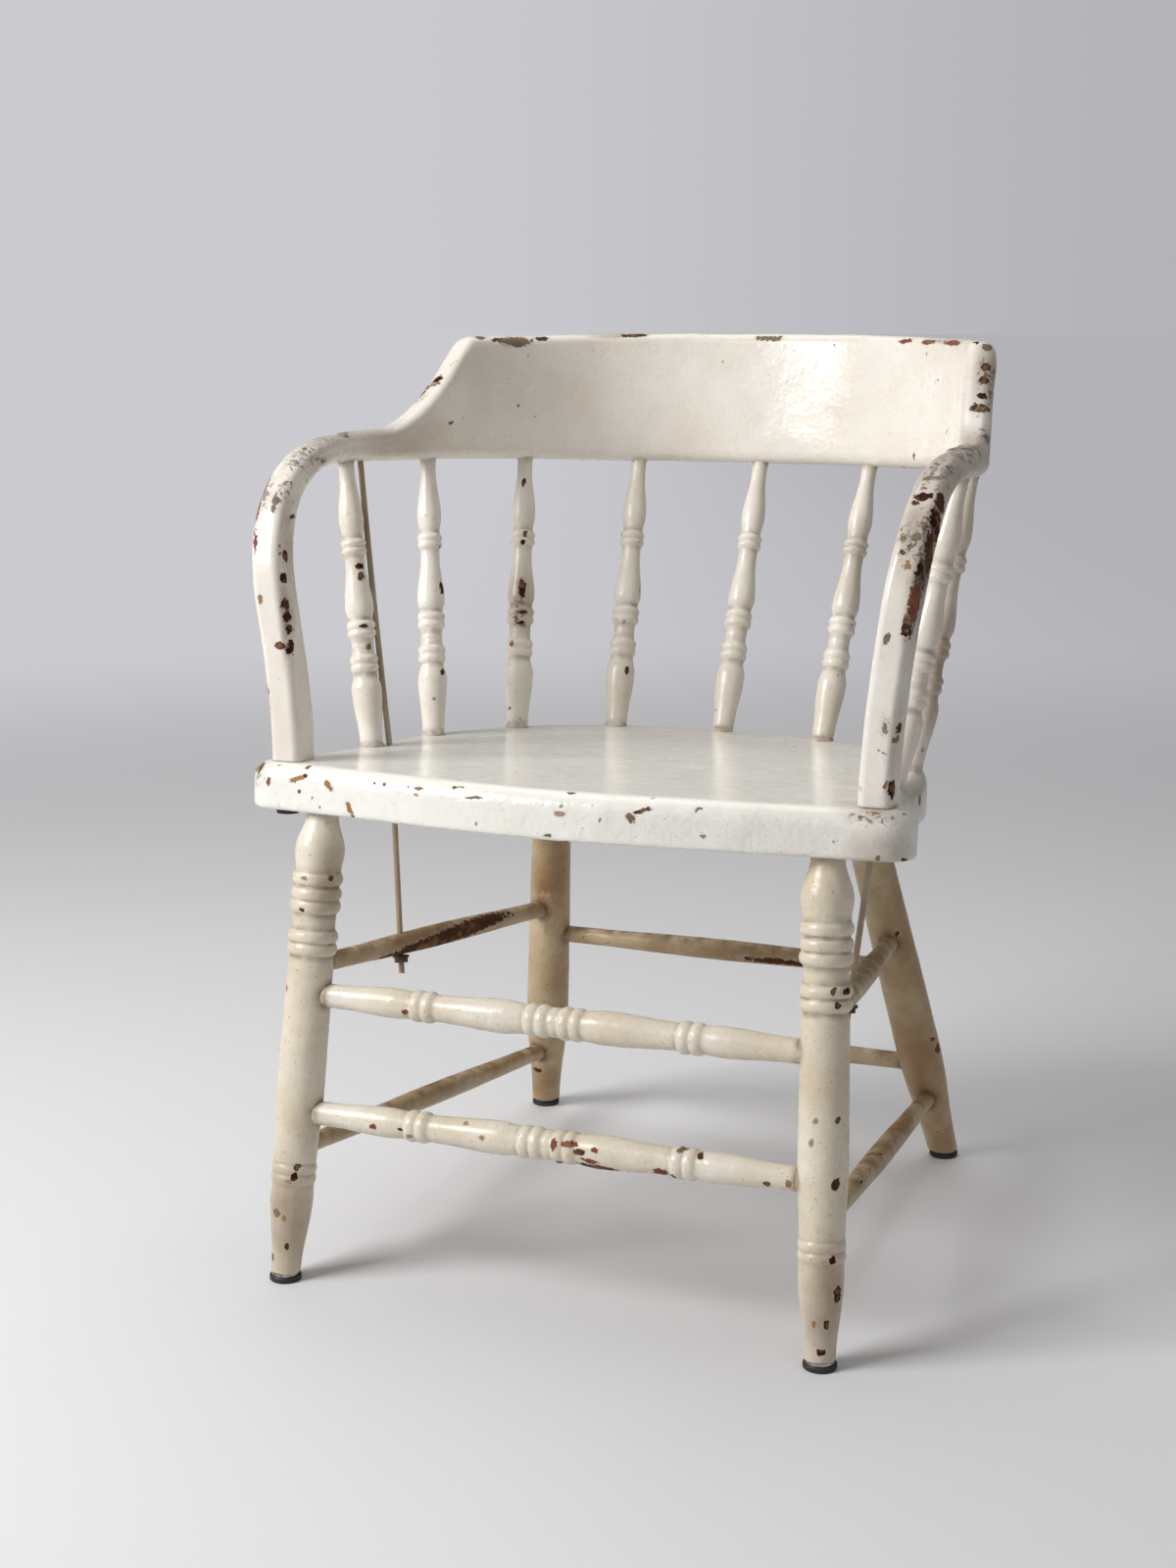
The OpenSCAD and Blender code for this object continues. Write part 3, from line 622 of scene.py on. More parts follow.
@dataclass(frozen=True)
class OldRubber:
    """Moulded black rubber, greyed with age and dust: nearly matt, with a fine bloom."""

    name: str = "moulded_rubber_dusty"
    black: str = "17171a"
    bloom: str = "3c3a38"

    def build(self) -> bpy.types.Material:
        """Makes the material.

        Returns:
            The material, on Object coordinates.
        """
        made, t, place = blank_material(self.name)
        cloud = add(t, "ShaderNodeTexNoise", {"Vector": place, "Scale": 1 / (6 * MM), "Detail": 4.0})
        grain = add(t, "ShaderNodeTexNoise", {"Vector": place, "Scale": 1 / (0.9 * MM), "Detail": 1.0})
        dusty = add(t, "ShaderNodeMapRange", {0: cloud, 1: 0.4, 2: 0.75, 3: 0.0, 4: 0.8})
        colour = add(
            t, "ShaderNodeMix", {0: dusty, 6: linear(self.black), 7: linear(self.bloom)}, data_type="RGBA"
        )
        rougher = add(t, "ShaderNodeMapRange", {0: cloud, 1: 0.3, 2: 0.7, 3: 0.45, 4: 0.75})
        height = add(t, "ShaderNodeMath", {0: grain, 1: 0.06 * MM}, operation="MULTIPLY")
        bump = add(t, "ShaderNodeBump", {"Strength": 1.0, "Distance": 1.0, "Height": height})
        shader = add(
            t,
            "ShaderNodeBsdfPrincipled",
            {"Base Color": colour.outputs[2], "Roughness": rougher, "IOR": 1.52, "Normal": bump},
        )
        add(t, "ShaderNodeOutputMaterial", {"Surface": shader})
        return made


# ---------------------------------------------------------------- the chair's layout


@dataclass(frozen=True)
class Layout:
    """Where the chair's parts meet, in mm, from the middle of the widest part of the seat."""

    seat_height: float = 429
    seat_tilt: float = 3.5
    seat_thick: float = 39
    seat_width: float = 500
    seat_back: float = 297
    seat_power: float = 2.5
    spindle_inset: float = 15
    rail_width: float = 552
    rail_depth: float = 367
    rail_centre: float = 22
    rail_power: float = 2.2
    rail_drop: float = 20
    arm_height: float = 675
    front_foot: Point = (236, -159, 0)
    front_head: Point = (219, -102, 0)
    back_foot: Point = (209, 342, 0)
    back_head: Point = (148, 222, 0)
    foot_turns: tuple[float, ...] = (2.3, 20.5, 44.5, 69.5, 90)
    top_turns: tuple[float, ...] = (4.7, 23.8, 44.6, 67.5, 90)
    pad_d: float = 27
    foot_lift: float = 3.75

    def seat_z(self, y: float) -> float:
        """Returns the height of the seat's top at that depth."""
        return self.seat_height - math.tan(math.radians(self.seat_tilt)) * y

    def rail_under(self, y: float) -> float:
        """Returns the height of the rail's underside at that depth."""
        u = max(0.0, y) / (self.rail_centre + self.rail_depth)
        return self.arm_height - self.rail_drop * (0.76 * u + 0.24 * u * u)

    def rail_plan(self, degrees: float) -> tuple[float, float]:
        """Returns the rail's centre line at that turn round its oval."""
        x, y = oval(self.rail_width / 2, self.rail_depth, self.rail_power, degrees)
        return x, y + self.rail_centre

    def spindle(self, number: int) -> tuple[Vector, Vector]:
        """Finds a spindle's ends.

        Args:
            number: 1 to 9, from the front left round the back to the front right.

        Returns:
            Where it leaves the seat and where it enters the rail.
        """
        side, step = (LEFT, number - 1) if number < 5 else (RIGHT, 9 - number)
        x, y = oval(
            self.seat_width / 2 - self.spindle_inset + 1,
            self.seat_back - self.spindle_inset,
            self.seat_power,
            self.foot_turns[step],
        )
        a, b = self.rail_plan(self.top_turns[step])
        return Vector((side * x, y, self.seat_z(y))), Vector((side * a, b, self.rail_under(b)))

    def leg(self, front: bool, side: int) -> tuple[Vector, Vector]:
        """Finds a leg's ends.

        Args:
            front: Whether it is a front leg.
            side: LEFT or RIGHT.

        Returns:
            Where its line meets the floor and where it enters the seat.
        """
        foot, head = (self.front_foot, self.front_head) if front else (self.back_foot, self.back_head)
        return (
            Vector((side * foot[0], foot[1], 0)),
            Vector((side * head[0], head[1], self.seat_z(head[1]) - self.seat_thick)),
        )

    def on_leg(self, front: bool, side: int, z: float) -> Vector:
        """Returns the point of a leg's line at that height."""
        p, q = self.leg(front, side)
        return p.lerp(q, z / q.z)

    @cache
    def shift(self) -> Vector:
        """Returns the move from this layout to the frame, from where the glide pads stand in the frame."""
        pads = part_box("glide_pads")[0].y / MM
        return Vector((0, pads + self.pad_d / 2 - self.on_leg(True, RIGHT, self.foot_lift).y, 0))


# ---------------------------------------------------------------- turning


@dataclass
class Silhouette:
    """A turned part's outline as [along, radius] points in mm, from one end to the other."""

    points: list[tuple[float, float]] = field(default_factory=list)

    def to(self, along: float, radius: float) -> "Silhouette":
        """Goes straight to a point."""
        self.points.append((along, radius))
        return self

    def swell(self, z0: float, r0: float, z1: float, r1: float, steps: int = 14) -> "Silhouette":
        """Eases from one radius to another.

        Args:
            z0: Start along the part.
            r0: Radius there.
            z1: End along the part.
            r1: Radius there.
            steps: Number of points.

        Returns:
            The silhouette itself.
        """
        self.points += [(z0 + (z1 - z0) * i / steps, r0 + (r1 - r0) * ease(i / steps)) for i in range(steps)]
        return self

    def bead(self, z: float, width: float, r0: float, r1: float, steps: int = 10) -> "Silhouette":
        """Adds a round bead.

        Args:
            z: Its middle.
            width: Its width along the part.
            r0: Radius at its foot.
            r1: Radius at its crest.
            steps: Number of points less one.

        Returns:
            The silhouette itself.
        """
        for i in range(steps + 1):
            a = math.pi * i / steps
            self.points.append((z - width / 2 * math.cos(a), r0 + (r1 - r0) * math.sin(a)))
        return self

    def pair(self, z: float, width: float, r0: float, r1: float) -> "Silhouette":
        """Adds two beads side by side, with that width each."""
        return self.bead(z - width / 2, width, r0, r1).bead(z + width / 2, width, r0, r1)

    def filled(self, spacing: float = 0.9, paint: float = 0.9) -> np.ndarray:
        """Spaces the points evenly and softens them, as thick paint does.

        Args:
            spacing: Distance between points, in mm.
            paint: Distance over which the outline is softened, in mm.

        Returns:
            Rows of along, radius and relief, which is how far the radius stands out of its neighbourhood.
        """
        z = np.array([p[0] for p in self.points])
        r = np.array([p[1] for p in self.points])
        z = np.maximum.accumulate(z + np.arange(len(z)) * 1e-6)
        even = np.linspace(z[0], z[-1], max(8, int((z[-1] - z[0]) / spacing)))
        radius = np.interp(even, z, r)
        step = even[1] - even[0]
        radius = self.blurred(radius, paint / step)
        wide = self.blurred(radius, 4.5 / step)
        return np.stack([even, radius, radius - wide], axis=1)

    @staticmethod
    def blurred(values: np.ndarray, width: float) -> np.ndarray:
        """Returns the values blurred by a bell curve whose width is in points."""
        half = max(1, int(width * 3))
        k = np.exp(-0.5 * (np.arange(-half, half + 1) / max(width, 0.3)) ** 2)
        padded = np.pad(values, half, mode="edge")
        return np.convolve(padded, k / k.sum(), mode="valid")


class Lathe:
    """Turns silhouettes with Geometry Nodes: a grid rolled up round the axis takes its radius from one."""

    def __init__(self) -> None:
        """Builds the node tree."""
        sockets = (
            ("Silhouette", "NodeSocketGeometry", None),
            ("Sides", "NodeSocketInt", 48),
            ("Unevenness", "NodeSocketFloat", 0.3 * MM),
            ("Lump Size", "NodeSocketFloat", 30 * MM),
            ("Seed", "NodeSocketFloat", 1.0),
            ("Material", "NodeSocketMaterial", None),
        )
        self.tree, self.ids = open_tree("lathe", sockets)
        self._wire()

    def _wire(self) -> None:
        """Adds the nodes."""
        t = self.tree
        given = add(t, "NodeGroupInput").outputs
        count = add(
            t, "GeometryNodeAttributeDomainSize", {"Geometry": given["Silhouette"]}, component="MESH"
        ).outputs["Point Count"]
        around = add(t, "ShaderNodeMath", {0: given["Sides"], 1: 1.0}, operation="ADD")
        grid = add(t, "GeometryNodeMeshGrid", {"Vertices X": around, "Vertices Y": count}).outputs["Mesh"]
        index = add(t, "GeometryNodeInputIndex")
        column = add(t, "ShaderNodeMath", {0: index, 1: count}, operation="DIVIDE")
        column = add(
            t,
            "ShaderNodeMath",
            {0: add(t, "ShaderNodeMath", {0: column, 1: 1e-4}, operation="ADD")},
            operation="FLOOR",
        )
        row = add(t, "ShaderNodeMath", {0: column, 1: count}, operation="MULTIPLY")
        row = add(t, "ShaderNodeMath", {0: index, 1: row}, operation="SUBTRACT")
        place = add(t, "GeometryNodeInputPosition")
        rim = add(
            t,
            "GeometryNodeSampleIndex",
            {"Geometry": given["Silhouette"], "Value": place, "Index": row},
            data_type="FLOAT_VECTOR",
        )
        rim = add(t, "ShaderNodeSeparateXYZ", {0: rim})
        turn = add(t, "ShaderNodeMath", {0: column, 1: given["Sides"]}, operation="DIVIDE")
        turn = add(t, "ShaderNodeMath", {0: turn, 1: 2 * math.pi}, operation="MULTIPLY")
        cosine = add(t, "ShaderNodeMath", {0: turn}, operation="COSINE")
        sine = add(t, "ShaderNodeMath", {0: turn}, operation="SINE")
        x = add(t, "ShaderNodeMath", {0: cosine, 1: rim.outputs[0]}, operation="MULTIPLY")
        y = add(t, "ShaderNodeMath", {0: sine, 1: rim.outputs[0]}, operation="MULTIPLY")
        turned = add(t, "ShaderNodeCombineXYZ", {0: x, 1: y, 2: rim.outputs[2]})
        # Hand turning and layers of paint leave each part a little uneven.
        scale = add(t, "ShaderNodeMath", {0: 1.0, 1: given["Lump Size"]}, operation="DIVIDE")
        lumps = add(
            t,
            "ShaderNodeTexNoise",
            {"Vector": turned, "W": given["Seed"], "Scale": scale, "Detail": 2.0},
            noise_dimensions="4D",
        )
        lift = add(t, "ShaderNodeMath", {0: lumps, 1: 0.5}, operation="SUBTRACT")
        lift = add(t, "ShaderNodeMath", {0: lift, 1: given["Unevenness"]}, operation="MULTIPLY")
        lift = add(t, "ShaderNodeMath", {0: lift, 1: 2.0, 2: 1.0}, operation="MULTIPLY_ADD")
        more = add(t, "ShaderNodeMath", {0: lift, 1: -1.0}, operation="ADD")
        out = add(t, "ShaderNodeCombineXYZ", {0: cosine, 1: sine})
        shift = add(t, "ShaderNodeVectorMath", {0: out, "Scale": more}, operation="SCALE")
        solid = add(t, "ShaderNodeMath", {0: rim.outputs[0], 1: 1.0 * MM}, operation="GREATER_THAN")
        shift = add(t, "ShaderNodeVectorMath", {0: shift, "Scale": solid}, operation="SCALE")
        final = add(t, "ShaderNodeVectorMath", {0: turned, 1: shift}, operation="ADD")
        mark = add(t, "GeometryNodeInputNamedAttribute", {"Name": "relief"}, data_type="FLOAT")
        relief = add(
            t,
            "GeometryNodeSampleIndex",
            {"Geometry": given["Silhouette"], "Value": mark.outputs["Attribute"], "Index": row},
            data_type="FLOAT",
        )
        shape = add(
            t,
            "GeometryNodeStoreNamedAttribute",
            {"Geometry": grid, "Name": "relief", "Value": relief},
            data_type="FLOAT",
            domain="POINT",
        )
        shape = add(t, "GeometryNodeSetPosition", {"Geometry": shape, "Position": final})
        shape = add(t, "GeometryNodeMergeByDistance", {"Geometry": shape, "Distance": 0.004 * MM})
        shape = add(t, "GeometryNodeSetShadeSmooth", {"Geometry": shape})
        shape = add(t, "GeometryNodeRealizeInstances", {"Geometry": shape})
        shape = add(t, "GeometryNodeSetMaterial", {"Geometry": shape, "Material": given["Material"]})
        add(t, "NodeGroupOutput", {0: shape})

    def turn(
        self,
        name: str,
        outline: Silhouette,
        start: Vector,
        end: Vector,
        material: bpy.types.Material,
        sticks: Sequence[Stick] = (),
        ends: tuple[float, float] = (0.0, 0.0),
        sides: int = 44,
        uneven: float = 0.35,
        seed: float = 1.0,
    ) -> bpy.types.Object:
        """Turns a part and lays it between two points.

        Args:
            name: The piece's name.
            outline: Its silhouette, measured from start.
            start: Where along = 0 is, in mm, in the frame.
            end: A point that its axis goes through.
            material: Its material.
            sticks: The parts that go into it.
            ends: Where along the part it goes into others, for the dirt there.
            sides: Number of sides.
            uneven: How uneven its surface is, in mm.
            seed: Seed of the unevenness.

        Returns:
            The piece, with its place in its mesh.
        """
        rows = outline.filled()
        line = [(0.0, 0.0, rows[0, 0])] + [(r, 0.0, z) for z, r, _ in rows] + [(0.0, 0.0, rows[-1, 0])]
        guide_mesh = bpy.data.meshes.new(name)
        guide_mesh.from_pydata(
            [[c * MM for c in p] for p in line], [(i, i + 1) for i in range(len(line) - 1)], []
        )
        marks = np.concatenate([[0], rows[:, 2], [0]]).astype(np.float32)
        guide_mesh.attributes.new("relief", "FLOAT", "POINT").data.foreach_set("value", marks)
        guide = bpy.data.objects.new(name, guide_mesh)
        bpy.context.scene.collection.objects.link(guide)
        lathe = guide.modifiers.new("lathe", "NODES")
        lathe.node_group = self.tree
        for key, value in (
            ("Sides", sides), ("Unevenness", uneven * MM), ("Seed", seed), ("Material", material)
        ):
            lathe[self.ids[key]] = value
        ready = guide.evaluated_get(bpy.context.evaluated_depsgraph_get())
        mesh = bpy.data.meshes.new_from_object(ready)
        guide.modifiers.remove(lathe)
        guide.data = mesh
        bpy.data.meshes.remove(guide_mesh)
        mesh.name = name
        face_outward(mesh)
        local = np.zeros(len(mesh.vertices) * 3, np.float32)
        mesh.vertices.foreach_get("co", local)
        along = local.reshape(-1, 3)[:, 2] / MM
        aim = (end - start).to_track_quat("Z", "Y").to_matrix().to_4x4()
        mesh.transform(Matrix.Translation(start * MM) @ aim)
        placed = np.zeros(len(mesh.vertices) * 3, np.float32)
        mesh.vertices.foreach_get("co", placed)
        dirty = nooks(placed.reshape(-1, 3) / MM, sticks) if sticks else np.zeros(len(along))
        for stop in ends:
            dirty = np.maximum(dirty, np.exp(-np.abs(along - stop) / 5.0))
        mesh.attributes.new("nook", "FLOAT", "POINT").data.foreach_set("value", dirty.astype(np.float32))
        if not mesh.materials:
            mesh.materials.append(material)
        return guide


# ---------------------------------------------------------------- seat


@dataclass
class Seat:
    """The shaped plank, with two square ears that carry the arms and a rounded top edge."""

    layout: Layout
    ear_width: float = 572
    front: float = 120
    front_bow: float = 31
    round_edge: float = 15
    ear_corner: float = 27
    ear_turn: float = 35
    ear_neck: float = 30
    spacing: float = 4.0
    sticks: list[Stick] = field(default_factory=list)

    def half(self) -> list[tuple[float, float]]:
        """Returns the right half of the outline, from the middle of the front to the middle of the back."""
        lay = self.layout
        body, ear = lay.seat_width / 2, self.ear_width / 2
        cx, cy = ear - self.ear_corner, -self.front + self.ear_corner
        line = [
            (x, -self.front - self.front_bow * math.cos(math.pi / 2 * x / cx) ** 1.3)
            for x in np.linspace(0, cx, 61)[:-1]
        ]
        turns = np.arange(-90, self.ear_turn, 6)
        line += [
            (
                cx + self.ear_corner * math.cos(math.radians(a)),
                cy + self.ear_corner * math.sin(math.radians(a)),
            ) for a in turns
        ]
        a = math.radians(self.ear_turn)
        ear_back = Vector((cx + self.ear_corner * math.cos(a), cy + self.ear_corner * math.sin(a)))
        neck = Vector((body + self.ear_neck * 0.3, cy + self.ear_neck))
        start = Vector(oval(body, lay.seat_back, lay.seat_power, 4))
        for u in np.linspace(0, 1, 24)[:-1]:
            line.append(tuple(ear_back.lerp(neck, u).lerp(neck.lerp(start, u), u)))
        line += [oval(body, lay.seat_back, lay.seat_power, t) for t in np.arange(4, 90, 1.0)]
        return line + [(0.0, lay.seat_back)]

    def outline(self) -> np.ndarray:
        """Returns the whole outline, evenly spaced, anticlockwise from the middle of the front."""
        half = np.array(self.half())
        whole = np.concatenate([half, half[-2:0:-1] * [-1, 1], half[:1]])
        far = np.concatenate([[0], np.cumsum(np.linalg.norm(np.diff(whole, axis=0), axis=1))])
        at = np.linspace(0, far[-1], int(far[-1] / self.spacing) + 1)[:-1]
        return np.stack([np.interp(at, far, whole[:, 0]), np.interp(at, far, whole[:, 1])], axis=1)

    @staticmethod
    def inset(line: np.ndarray, depth: float) -> np.ndarray:
        """Returns an anticlockwise outline moved inwards by that depth."""
        d = np.roll(line, -1, axis=0) - np.roll(line, 1, axis=0)
        d /= np.linalg.norm(d, axis=1)[:, None]
        return line + depth * np.stack([-d[:, 1], d[:, 0]], axis=1)

    def build(self, material: bpy.types.Material) -> None:
        """Makes the seat.

        Args:
            material: Its paint.
        """
        lay, line = self.layout, self.outline()
        high = lay.seat_thick
        levels = [(0, 5, 0.3), (0.8, 1.6, 1.0), (3, 0, 0.8)]
        levels += [(z, 0, 0.0) for z in np.arange(6, high - self.round_edge, 3.2)]
        for a in np.linspace(0, 90, 9):
            s, c = math.sin(math.radians(a)), math.cos(math.radians(a))
            levels.append(
                (
                    high - self.round_edge * (1 - s),
                    self.round_edge * (1 - c),
                    math.sin(2 * math.radians(a)) * 0.9,
                )
            )
        rings, relief = [], []
        for z, depth, edge in levels:
            rings.append([Vector((x, y, z)) for x, y in self.inset(line, depth)])
            relief += [edge] * len(line)
        last = self.inset(line, self.round_edge)
        middle = np.array([0.0, 60.0])
        under = self.inset(line, 5)
        flats = [0.985, 0.96, 0.92, 0.87, 0.81, 0.74, 0.66, 0.57, 0.48, 0.38, 0.28, 0.18, 0.08]
        for u in flats:
            rings.append([Vector((x, y, high)) for x, y in middle + (last - middle) * u])
            relief += [0.0] * len(line)
        start = [[Vector((x, y, 0)) for x, y in middle + (under - middle) * u] for u in reversed(flats)]
        rings = start + rings
        relief = [0.0] * len(line) * len(start) + relief + [0.0, 0.0]
        points, faces = skin(rings)
        tilt = Euler((math.radians(-lay.seat_tilt), 0, 0)).to_matrix()
        lift = Vector((0, 0, lay.seat_height - high / math.cos(math.radians(lay.seat_tilt)))) + lay.shift()
        placed = []
        for p in points:
            v = Vector(p)
            out = Vector((v.x, v.y * 0.8, 0)).normalized()
            lumpy = rough(v, 26, 1) * 0.5 + rough(v, 60, 2) * 0.5 + rough(v, 13, 9) * 0.3
            rim = 1.0 if 1 < v.z < high - 0.5 else 0.0
            v += out * lumpy * rim + Vector((0, 0, 1)) * rough(v, 70, 3) * (0.5 if v.z > 20 else 0.3)
            placed.append(tuple(tilt @ v + lift))
        placed = np.array(placed)
        marks = {"relief": np.array(relief), "nook": nooks(placed, self.sticks, 4.0)}
        made = mesh_piece("seat_plank", placed, faces, material, marks)
        finish_piece(made, ["seat"])


# ---------------------------------------------------------------- rail


@dataclass
class Rail:
    """The bent board that is the crest, both arms and both arm posts."""

    layout: Layout
    thick: float = 27
    arm_deep: float = 26
    post_deep: float = 34
    bend_radius: float = 130
    bend_power: float = 2.45
    lean: float = 8
    crest: float = 776
    post_in: float = 22
    post_front: float = 87
    post_gap: float = 0.3
    round_edge: float = 11
    post_edge: float = 7
    sweep: tuple[float, float] = (112, 238)
    around: int = 12
    sticks: list[Stick] = field(default_factory=list)

    def section(self, wide: float, high: float, corner_r: float) -> list[tuple[float, float, float]]:
        """Returns the board's outline as [out, up, edge], where edge is 1 at a corner."""
        r = min(corner_r, wide / 2 - 1, high / 2 - 1)
        line = []
        for corner in range(4):
            sx, sy = (1 if corner in (0, 3) else -1), (1 if corner < 2 else -1)
            for a in np.linspace(90 * corner, 90 * corner + 90, self.around):
                c, s = math.cos(math.radians(a)), math.sin(math.radians(a))
                line.append((sx * (wide / 2 - r) + r * c, sy * (high / 2 - r) + r * s, abs(2 * s * c)))
            # the flat between two corners has points of its own, for the unevenness
            nx, ny = ((1 if (corner + 1) % 4 in (0, 3) else -1), (1 if (corner + 1) % 4 < 2 else -1))
            ox, oy = line[-1][0], line[-1][1]
            a = math.radians(90 * corner + 90)
            tx, ty = nx * (wide / 2 - r) + r * math.cos(a), ny * (high / 2 - r) + r * math.sin(a)
            for u in (0.2, 0.4, 0.6, 0.8):
                line.append((ox + (tx - ox) * u, oy + (ty - oy) * u, 0.0))
        return line

    def ring(
        self, c: Vector, out: Vector, up: Vector, wide: float, high: float, sharp: float = 0.0
    ) -> list[tuple[Vector, float]]:
        """Returns one ring of points with their edge marks; sharp is 1 where the corners are a post's."""
        corner_r = self.round_edge + (self.post_edge - self.round_edge) * sharp
        return [(c + out * a + up * b, e) for a, b, e in self.section(wide, high, corner_r)]

    def top(self, y: float) -> float:
        """Returns the height of the rail's top edge at that depth."""
        arm = self.layout.arm_height + self.arm_deep - 3
        u = max(0.0, y - self.sweep[0]) / (self.sweep[1] - self.sweep[0])
        high = arm + (self.crest - arm) * u**1.9
        low, soft = min(high, self.crest), 2.2
        return low - soft * math.log(math.exp((low - high) / soft) + math.exp((low - self.crest) / soft))

    def crest_ring(self, degrees: float) -> list[tuple[Vector, float]]:
        """Returns the ring at that turn round the oval, where the board is crest or arm."""
        lay = self.layout
        x, y = lay.rail_plan(degrees)
        qx, qy = lay.rail_plan(degrees + 0.5)
        d = Vector((x - qx, y - qy, 0)).normalized()
        out = Vector((-d.y, d.x, 0))
        low, high = lay.rail_under(y), self.top(y)
        rise = (high - low - self.arm_deep) / (self.crest - lay.arm_height - self.arm_deep)
        lean = math.radians(self.lean * min(1.0, max(0.0, rise)))
        up = out * math.sin(lean) + Vector((0, 0, math.cos(lean)))
        side = out * math.cos(lean) - Vector((0, 0, math.sin(lean)))
        deep = (high - low) / math.cos(lean)
        return self.ring(Vector((x, y, low)) + up * deep / 2, side, up, self.thick, deep)

    def bend_line(self, a: float) -> tuple[float, float]:
        """Returns depth and height of the bend's centre line at turn a, from arm to post."""
        p, q = oval(self.bend_radius, self.bend_radius, self.bend_power, 90 - a)
        return self.bend_radius - self.post_front - p, self.arm_middle - self.bend_radius + q

    @property
    def arm_turn(self) -> float:
        """Returns the turn round the oval where the arm runs straight forward."""
        return math.degrees(math.asin((21 / self.layout.rail_depth) ** (self.layout.rail_power / 2)))

    @property
    def arm_middle(self) -> float:
        """Returns the height of the arm's centre line at the bend."""
        return self.layout.rail_under(self.layout.rail_plan(self.arm_turn)[1]) + (self.arm_deep - 3) / 2

    def post_x(self, z: float) -> float:
        """Returns the post's distance from the middle at that height."""
        foot = self.layout.seat_z(-self.post_front)
        return self.layout.rail_width / 2 - self.post_in * (1 - ease((z - foot) / (self.arm_middle - foot)))

    def bend_ring(self, a: float) -> list[tuple[Vector, float]]:
        """Returns the ring round the bend at turn a."""
        y, z = self.bend_line(a)
        p, q = self.bend_line(a + 1), self.bend_line(a - 1)
        d = Vector((p[0] - q[0], p[1] - q[1])).normalized()
        deep = self.arm_deep - 3 + (self.post_deep - self.arm_deep + 3) * ease(a / 90)
        return self.ring(
            Vector((self.post_x(z), y, z)),
            Vector((1, 0, 0)),
            Vector((0, d.y, -d.x)),
            self.thick,
            deep,
            ease(a / 90),
        )

    def post_ring(self, u: float) -> list[tuple[Vector, float]]:
        """Returns the ring down the post, from the bend at u = 0 to the seat at u = 1."""
        start = self.arm_middle - self.bend_radius
        z = start + (self.layout.seat_z(-self.post_front) - start) * u
        flat = self.ring(
            Vector((self.post_x(z), -self.post_front, z)),
            Vector((1, 0, 0)),
            Vector((0, -1, 0)),
            self.thick,
            self.post_deep,
            1.0,
        )
        if u < 1:
            return flat
        return [(Vector((p.x, p.y, self.layout.seat_z(p.y) + self.post_gap)), e) for p, e in flat]

    def build(self, material: bpy.types.Material) -> None:
        """Makes the rail.

        Args:
            material: Its paint.
        """
        half = [self.crest_ring(t) for t in np.arange(90, 40, -1.5)]
        half += [self.crest_ring(t) for t in np.arange(40, self.arm_turn + 0.5, -0.8)]
        half += [self.bend_ring(a) for a in np.arange(0, 90.1, 3)]
        half += [self.post_ring(u) for u in np.linspace(0.03, 1, 34)]
        mirrored = [[(Vector((-p.x, p.y, p.z)), e) for p, e in ring] for ring in half[:0:-1]]
        rings = mirrored + half
        points, faces = skin([[p for p, _ in ring] for ring in rings])
        relief = np.array([e for ring in rings for _, e in ring] + [0.0, 0.0])
        placed = []
        for p in points:
            v = Vector(p)
            swell = Vector((rough(v, 34, 4), rough(v, 34, 5), rough(v, 34, 6))) * 0.55
            swell += Vector((rough(v, 110, 7), rough(v, 110, 8), rough(v, 110, 9))) * 0.8
            if v.z < self.layout.seat_z(v.y) + 1:
                swell *= 0.0
            placed.append(tuple(v + swell + self.layout.shift()))
        placed = np.array(placed)
        marks = {"relief": relief, "nook": nooks(placed, self.sticks, 4.0)}
        made = mesh_piece("bent_rail", placed, faces, material, marks)
        finish_piece(made, ["back_arm_rail"])


# ---------------------------------------------------------------- turned parts


